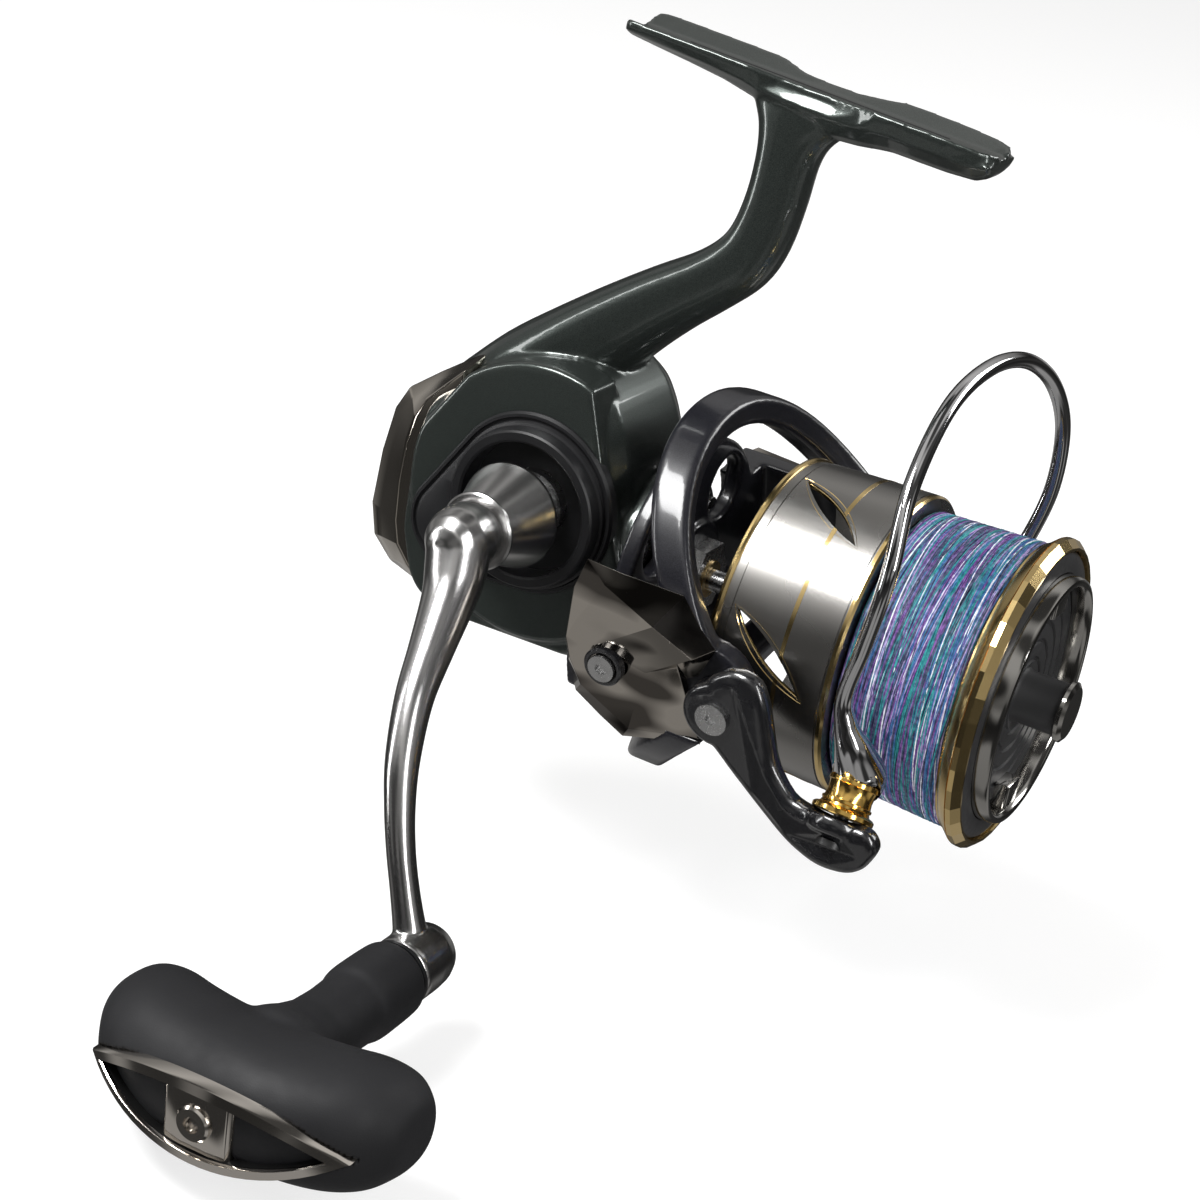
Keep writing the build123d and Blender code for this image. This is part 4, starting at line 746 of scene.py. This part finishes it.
def make_arm_cover():
    """Cut-gem cover: a high ridge, a bright slope under it and a lower field."""
    n = len(COVER_FACE)
    verts = [(x, -s, z) for (x, z), s in zip(COVER_FACE, FACE_OUT)] + [(x, -29.4,
                                                                        z) for x, z in COVER_BASE]
    verts += [(x, -s, z) for (x, z), s in zip(COVER_RIDGE, (33.5, 34.0, 33.4, 32.2))]
    verts += [(x, -s, z) for (x, z), s in zip(COVER_CREASE, (32.7, 31.9, 30.5, 30.5))]
    verts.append((11.2, -29.4, 0.5))
    r, c, notch = 2 * n, 2 * n + 4, 2 * n + 8
    faces = [
        (0, 1, r), (1, 2, r + 1, r), (2, 3, r + 1), (3, 4, r + 2, r + 1), (4, r + 3, r + 2),
        (n - 1, 0, r), (n - 1, r, c), (r, r + 1, c + 1, c), (r + 1, r + 2, c + 2, c + 1),
        (r + 2, r + 3, c + 3, c + 2), (r + 3, 5, c + 3), (c + 2, c + 3, 5, 6, 7),
        (c + 1, c + 2, 7, 8, 9), (c, c + 1, 9, 10, 11), (n - 1, c, 11)
    ]
    faces += [(i, (i + 1) % n, n + (i + 1) % n, n + i) for i in range(n) if i != 4]
    faces += [(4, r + 3, notch, n + 4), (r + 3, 5, n + 5, notch)]
    faces.append(tuple(range(n, n + 5)) + (notch,) + tuple(range(n + 5, 2 * n)))
    ring = turned([(-31.4, 2.5), (-32.75, 2.5), (-32.9, 2.7), (-32.9, 3.1), (-32.7, 3.35),
                   (-31.4, 3.35)], 40, "Y")
    ring = ([(x - 3.0, y, z) for x, y, z in ring[0]], ring[1])
    piece("cover_screw_ring", *ring, ROTOR, "rotor", "lever_black", slot="cover_chrome")
    piece("arm_cover_gem", verts, faces, ROTOR, "rotor", "cover_chrome", ["arm_cover_near"],
          "cover_chrome", angle=8, bevel=0.25)


# ---- bail ----------------------------------------------------------------------
ROLLER_AT, ROLLER_TILT = (40.6, -32.2, -6.4), math.radians(-41)
LEVER_EDGE = [
    (14.4, 5.6), (18.9, 8.4), (23.1, 8.0), (25.0, 4.4), (26.2, -0.4), (27.8, -6.2), (31.2, -10.2),
    (34.6, -10.3), (39.3, -10.4), (43.8, -9.4), (46.0, -12.1), (44.0, -16.6), (41.5, -18.6),
    (36.4, -19.5), (31.0, -17.9), (25.3, -13.9), (20.6, -10.0), (17.0, -6.6), (13.4, -4.2)
]


def roller_frame():
    tilt = Matrix.Rotation(ROLLER_TILT, 4, "X")
    return ROTOR @ Matrix.Translation(Vector(ROLLER_AT)) @ tilt


def lever_out(x, z):
    """How far out the lever's middle lies at a point of its plan."""
    t = min(max((x - 22.0) / 18.0, 0.0), 1.0)
    return 32.6 + 4.4 * t * t * (3 - 2 * t)


def make_lever():
    edge = resample(rounded(LEVER_EDGE, 2.5, 4), 90)
    rings = []
    for lift, grow in ((-1.7, 0.95), (-1.3, 0.99), (-0.3, 1.0), (0.6, 1.0), (1.3, 0.96), (1.7, 0.88)):
        ring = []
        for i, (x, z) in enumerate(edge):
            a, b = Vector(edge[i - 1]), Vector(edge[(i + 1) % len(edge)])
            t = (b - a).normalized()
            inward = (1.0 - grow) * 14.0
            px, pz = x + t.y * inward, z - t.x * inward
            extra = lever_out(x, z) - 31.0
            ring.append((px + 0.45 * extra, -(lever_out(x, z) + lift), pz + 0.46 * extra))
        rings.append(ring)
    ear = turned([(-6.4, 0.0), (-6.4, 3.8), (-6.0, 4.6), (-5.0, 5.0), (-3.9, 4.9), (-3.6, 4.5),
                  (-3.6, 0.0)], 48, "Z")
    local = ROTOR.inverted() @ roller_frame()
    ear = ([tuple(local @ Vector(v)) for v in ear[0]], ear[1])
    boss = turned([(-34.3, 0.0), (-34.3, 4.6), (-34.0, 5.3), (-33.4, 5.6), (-31.0, 5.6), (-31.0, 0.0)],
                  48, "Y")
    boss = ([(x + PIVOT_X, y, z) for x, y, z in boss[0]], boss[1])
    o = piece("bail_lever_arm", *join(loft(rings), ear, boss), ROTOR, "bail", "lever_black",
              ["bail_lever"], "lever_black")
    fuse(o, 0.26, 6)


WIRE_PATH = [
    (37.0, -31.0, 10.5), (38.8, -30.7, 20.4), (40.2, -28.9, 32.4), (38.4, -20.8, 42.4),
    (36.9, -6.0, 48.4), (37.0, 9.0, 48.6), (38.4, 21.5, 45.0), (40.2, 31.5, 37.4), (41.6, 37.4, 27.0),
    (41.4, 38.8, 14.5), (39.0, 37.6, 3.4), (36.4, 36.2, -3.4)
]


def make_wire():
    """Tubular bail, flaring like a horn where it meets the roller."""
    mouth = ROTOR.inverted() @ roller_frame() @ Vector((0, 0, 3.1))
    throat = ROTOR.inverted() @ roller_frame() @ Vector((0, 0, 4.2))
    points = [tuple(mouth), tuple(throat), (39.6, -31.1, 1.8), (38.0, -31.4, 5.8)] + WIRE_PATH
    radii = [4.3, 4.05, 2.9, 1.85] + [1.35] + [1.3] * (len(WIRE_PATH) - 1)
    rows = interpolate([(*p, r) for p, r in zip(points, radii)], 10)
    rings = tube([row[:3] for row in rows], [row[3] for row in rows], 28)
    piece("bail_wire_tube", *loft(rings), ROTOR, "bail", "wire_chrome", ["bail_wire"], "wire_chrome",
          angle=50)


def make_roller():
    prof = [
        (-3.0, 1.6), (-3.0, 4.7), (-2.8, 4.95), (-2.2, 4.95), (-1.9, 4.6), (-1.7, 4.0), (-1.2, 3.8),
        (-1.1, 4.0), (-0.7, 4.0), (-0.6, 3.75), (0.3, 3.6), (1.3, 3.65), (1.9, 3.8), (2.0, 4.0),
        (2.6, 4.0), (2.85, 3.8), (2.85, 1.6)
    ]
    piece("roller_body", *turned(prof, 64, "Z"), roller_frame(), "roller", "roller_gold",
          ["line_roller"], "roller_gold", angle=35)


# ---- spool ---------------------------------------------------------------------
LENS_LEAN, LENS_MID = math.radians(38), 20.5
WINDOWS, WINDOW_TURN = 6, 24
WIND_REAR, WIND_FRONT, WIND_LONG = 32.0, 50.8, 18.8
FIRST_LAY, LAST_LAY, LAY_SPAN = 32.25, 50.55, 36.6


def skirt_r(x):
    """Radius of the skirt, which widens towards the front."""
    return 24.72 + (x - 13.05) * 0.0387


def lens_point(x, v, lift, turn):
    """Point of a skewed oval's plan, lifted off the skirt's surface."""
    along = LENS_MID + x * math.cos(LENS_LEAN) - v * math.sin(LENS_LEAN)
    a = turn + (x * math.sin(LENS_LEAN) + v * math.cos(LENS_LEAN)) / 25.0
    r = skirt_r(along) + lift
    return (along, -r * math.sin(a), r * math.cos(a))


def lens(half, high, lift, turn, n=40):
    return [lens_point(x, v, lift, turn) for x, v in lens_points(half, high, n)]


def lens_turns():
    return [math.radians(360 / WINDOWS * k + WINDOW_TURN) for k in range(WINDOWS)]


def lens_cutter(turn, half=8.6, high=1.5, n=18):
    """Solid lens through the skirt wall, built of slices along its length."""
    r, rings = (half * half + high * high) / (2 * high), []
    for k in range(n + 1):
        x = half * (2 * k / n - 1)
        h = max(math.sqrt(r * r - x * x) - (r - high), 0.02)
        rings.append([lens_point(x, s * h, lift, turn) for s, lift in ((1, -3.0), (-1, -3.0), (-1, 2.0),
                                                                       (1, 2.0))])
    return loft(rings)


def cut_lenses(o):
    """Open the six skirt windows in a spool piece."""
    cut_out(o, join(*[lens_cutter(t) for t in lens_turns()]), SPOOL, 30)


def make_spool():
    prof = [
        (10.0, 23.6), (10.0, 24.4), (10.3, 24.85), (10.75, 24.95), (11.15, 24.8), (11.2, 24.5),
        (12.7, 24.56), (12.75, 24.4), (13.0, 24.4), (13.05, 24.72), (30.55, 25.39), (30.6, 25.15),
        (30.85, 25.15), (30.9, 25.38), (31.5, 25.38), (31.9, 25.0), (31.9, 18.0), (50.9, 18.0),
        (50.9, 23.2), (53.0, 23.2), (53.0, 15.0), (39.0, 15.0), (39.0, 4.1), (29.9, 4.1), (29.9, 6.5),
        (30.9, 6.5), (30.9, 24.2), (30.2, 24.3)
    ]
    gold = {1, 2, 3, 4, 13, 14}
    verts, faces = turned(prof, 144, "X")
    mats = [1 if k in gold else 0 for _ in range(144) for k in range(len(prof))]
    o = piece("spool_turning", verts, faces, SPOOL, "spool", ["spool_alloy", "lip_gold"],
              ["spool_body"], "spool_alloy", face_mats=mats)
    cut_lenses(o)
    x0, x1 = 22.6, 23.3
    stripe = [
        (x0, skirt_r(x0) - 0.2), (x0, skirt_r(x0) + 0.05), (x1, skirt_r(x1) + 0.05),
        (x1, skirt_r(x0) - 0.2)
    ]
    o = piece("spool_stripe", *turned(stripe, 144, "X"), SPOOL, "spool", "lip_gold", slot="lip_gold")
    cut_lenses(o)
    rims = []
    for t in lens_turns():
        rims.append(loft([lens(9.3, 2.2, 0.06, t), lens(8.45, 1.4, -0.4, t), lens(8.45, 1.4, -0.95, t),
                          lens(9.3, 2.2, -0.85, t)], loop=True))
    piece("window_rims", *join(*rims), SPOOL, "spool", "lip_gold", slot="lip_gold", angle=20)


def make_lip():
    rear = [(50.95, 23.25), (50.95, 24.1), (51.3, 24.2), (53.0, 25.75), (53.2, 25.85), (53.25, 23.3)]
    piece("lip_rear", *turned(rear, 144, "X"), SPOOL, "spool", "lip_gold", ["lip_ring"], "lip_gold",
          angle=25)
    front = [
        (53.15, 23.3), (53.15, 25.6), (53.35, 25.9), (54.2, 25.9), (55.4, 24.75), (55.4, 24.3),
        (53.9, 24.2), (53.9, 23.3)
    ]
    piece("lip_front", *turned(front, 40, "X"), SPOOL, "spool", "lip_gold", slot="lip_gold", angle=4)


def line_r(x):
    """Radius of the wound line: a gentle taper with rounded shoulders."""
    base = 23.2 + (x - WIND_REAR) * 0.0426
    edge = min(x - WIND_REAR, WIND_FRONT - x)
    return base - 0.8 * max(0.0, 1.0 - edge / 1.0) ** 2


def strand(x0, slope, a0, turns, lift, r):
    """One lay of line across the winding, dipping under at both ends."""
    steps = int(52 * turns)
    pts = []
    for k in range(steps + 1):
        t = k / steps
        x = x0 + slope * t * turns
        x = FIRST_LAY + (x - FIRST_LAY) % LAY_SPAN
        x = x if x < LAST_LAY else 2 * LAST_LAY - x
        a = a0 + 2 * math.pi * turns * t
        dip = 0.5 * max(0.0, 1 - min(t, 1 - t) * 18) ** 2
        rad = line_r(x) + lift - dip
        pts.append((x, rad * math.cos(a), rad * math.sin(a)))
    return loft(tube(pts, r, 5))


def make_line():
    """Braided line: a solid core with strands laid over it in many colours."""
    stations = [WIND_REAR + WIND_LONG * k / 24 for k in range(25)]
    core = [(WIND_REAR, 18.1)] + [(x, line_r(x) - 0.42) for x in stations] + [(WIND_FRONT, 18.1)]
    # The core is coloured darker than the strands: painted shade in the gaps between strands.
    piece("line_core", *turned(core, 96, "X"), SPOOL, "spool", "braid", ["line_winding"], "braid",
          angle=60)
    shades = ["braid_blue", "braid_teal", "braid_purple", "braid_lilac", "braid_slate", "braid_white"]
    for i, key in enumerate(shades):
        count = (74, 70, 66, 34, 66, 14)[i]
        lays = []
        for k in range(count):
            x0 = random.uniform(32.3, 50.4)
            slope = random.choice((-1, 1)) * random.uniform(1.5, 10.0)
            lays.append(strand(x0, slope, random.uniform(0, 6.28), random.uniform(0.7, 1.3),
                               random.uniform(-0.36, -0.12), 0.115))
        piece("line_" + key, *join(*lays), SPOOL, "spool", key, slot="braid", angle=70)


# ---- drag knob -------------------------------------------------------------------
def make_drag():
    ring = [
        (53.4, 15.2), (53.4, 23.6), (53.7, 24.0), (54.5, 24.0), (54.9, 23.7), (55.3, 22.6),
        (55.3, 20.7), (54.4, 20.5)
    ]
    for outer, inner in ((18.6, 17.9), (15.6, 14.9), (12.6, 11.9), (9.6, 8.9), (6.6, 5.9)):
        ring += [(54.65, outer), (54.25, outer - 0.15), (54.25, inner), (54.65, inner - 0.15)]
    ring += [(54.3, 4.6), (54.9, 4.3), (61.4, 4.3), (61.4, 0.0), (46.3, 0.0), (46.3, 8.0), (53.4, 8.0)]
    piece("drag_knob_body", *turned(ring, 128, "X"), SPOOL, "drag", "knob_black", ["drag_knob"],
          "knob_black", angle=30)
    trim = [
        (54.3, 20.55), (57.2, 20.55), (57.75, 20.3), (57.9, 19.9), (57.9, 19.5), (57.6, 19.1),
        (56.8, 18.8), (54.3, 18.6)
    ]
    piece("drag_trim_ring", *turned(trim, 128, "X"), SPOOL, "drag", "trim_chrome", ["drag_knob_trim"],
          "trim_chrome", angle=40)
    wings = []
    for sign in (-1, 1):
        rings = []
        for x, k in ((54.5, 1.0), (56.6, 1.0), (57.1, 0.86)):
            rings.append([(x, 2.6 * k * u, sign * (16.8 + 2.2 * k * v)) for u, v in ((-1, -1), (1, -1),
                                                                                     (1, 1), (-1, 1))])
        wings.append(loft(rings))
    piece("drag_wings", *join(*wings), SPOOL, "drag", "trim_chrome", slot="trim_chrome", angle=20,
          bevel=0.25)


make_housing()
make_guard()
make_side_plate()
make_handle()
make_grip()
make_rotor()
make_arm_cover()
make_lever()
make_wire()
make_roller()
make_spool()
make_lip()
make_line()
make_drag()


# ---- floor, light and camera ------------------------------------------------
def floor():
    half, z = 4.0, CAD_BOX[0][2] - 0.004
    me = bpy.data.meshes.new("floor")
    me.from_pydata([(-half, -half, z), (half, -half, z), (half, half, z), (-half, half, z)], [],
                   [(0, 1, 2, 3)])
    o = bpy.data.objects.new("floor", me)
    bpy.context.scene.collection.objects.link(o)
    m = shader("floor_white", (0.35, 0.35, 0.35), 0.0, 0.9, spec=0.05)
    p = m.node_tree.nodes["Principled BSDF"]
    p.inputs["Emission Color"].default_value = (1, 1, 1, 1)
    p.inputs["Emission Strength"].default_value = 0.72
    vary(m, 4, 0.85, 0.95)
    o.data.materials.append(m)
    o.visible_glossy = False


def area(name, at, to, size, power, size_y=None):
    data = bpy.data.lights.new(name, "AREA")
    data.energy, data.size = power, size
    if size_y:
        data.shape, data.size_y = "RECTANGLE", size_y
    o = bpy.data.objects.new(name, data)
    bpy.context.scene.collection.objects.link(o)
    o.location = at
    o.rotation_euler = (Vector(to) - Vector(at)).to_track_quat("-Z", "Y").to_euler()


def lights():
    mid = (0.0, -0.03, -0.075)
    area("key", (-0.30, -0.35, 0.60), mid, 0.40, 9, size_y=0.25)
    area("side", (0.60, -0.35, 0.25), mid, 0.12, 3.2, size_y=0.6)
    area("left", (-0.70, -0.45, 0.05), mid, 0.10, 2.6, size_y=0.7)
    area("rear", (0.55, 0.75, 0.45), mid, 0.4, 4)


def studio_world():
    """Soft grey surroundings: bands by height, broken up by slow noise."""
    w = bpy.data.worlds.new("studio")
    bpy.context.scene.world = w
    w.use_nodes = True
    bg = w.node_tree.nodes["Background"]
    bg.inputs["Strength"].default_value = 0.62
    co = w.node_tree.nodes.new("ShaderNodeTexCoord")
    sep = w.node_tree.nodes.new("ShaderNodeSeparateXYZ")
    ramp = w.node_tree.nodes.new("ShaderNodeValToRGB")
    rng = w.node_tree.nodes.new("ShaderNodeMapRange")
    rng.inputs["From Min"].default_value, rng.inputs["From Max"].default_value = -1.0, 1.0
    stops = ((0.0, 0.42), (0.30, 0.5), (0.42, 0.22), (0.50, 0.55), (0.57, 0.22), (0.70, 0.36),
             (0.82, 0.8), (1.0, 0.85))
    els = ramp.color_ramp.elements
    els[0].position, els[1].position = stops[0][0], stops[-1][0]
    for pos, _ in stops[1:-1]:
        els.new(pos)
    for el, (pos, v) in zip(els, stops):
        el.color = (v, v * 0.985, v * 0.965, 1)
    noise = w.node_tree.nodes.new("ShaderNodeTexNoise")
    noise.inputs["Scale"].default_value, noise.inputs["Detail"].default_value = 1.9, 0.0
    cut = w.node_tree.nodes.new("ShaderNodeMapRange")
    cut.inputs["From Min"].default_value, cut.inputs["From Max"].default_value = 0.42, 0.56
    cut.inputs["To Min"].default_value, cut.inputs["To Max"].default_value = 0.12, 1.2
    mul = w.node_tree.nodes.new("ShaderNodeVectorMath")
    mul.operation = "SCALE"
    link = w.node_tree.links.new
    link(co.outputs["Generated"], sep.inputs[0])
    link(co.outputs["Generated"], noise.inputs["Vector"])
    link(sep.outputs["Z"], rng.inputs["Value"])
    link(rng.outputs["Result"], ramp.inputs["Fac"])
    link(noise.outputs["Fac"], cut.inputs["Value"])
    link(ramp.outputs["Color"], mul.inputs[0])
    link(cut.outputs["Result"], mul.inputs["Scale"])
    link(mul.outputs["Vector"], bg.inputs["Color"])


# place in mm; right, down and ahead as unit vectors
CAMERA_AT = (147.44, -359.77, 79.23)
CAMERA_AXES = ((0.8605, 0.4816, 0.1661), (0.3305, -0.2796, -0.9015), (-0.3877, 0.8306, -0.3997))


def camera():
    data = bpy.data.cameras.new("camera")
    data.lens, data.sensor_width, data.sensor_fit = 76.26, 36.0, "HORIZONTAL"
    data.clip_start, data.clip_end = 0.02, 30
    o = bpy.data.objects.new("camera", data)
    bpy.context.scene.collection.objects.link(o)
    right, down, ahead = CAMERA_AXES
    rot = Matrix((right, [-v for v in down], [-v for v in ahead])).transposed()
    o.matrix_world = Matrix.Translation(Vector(CAMERA_AT) * MM) @ rot.to_4x4()
    bpy.context.scene.camera = o


floor()
lights()
studio_world()
camera()
bpy.context.scene.view_settings.view_transform = "Standard"
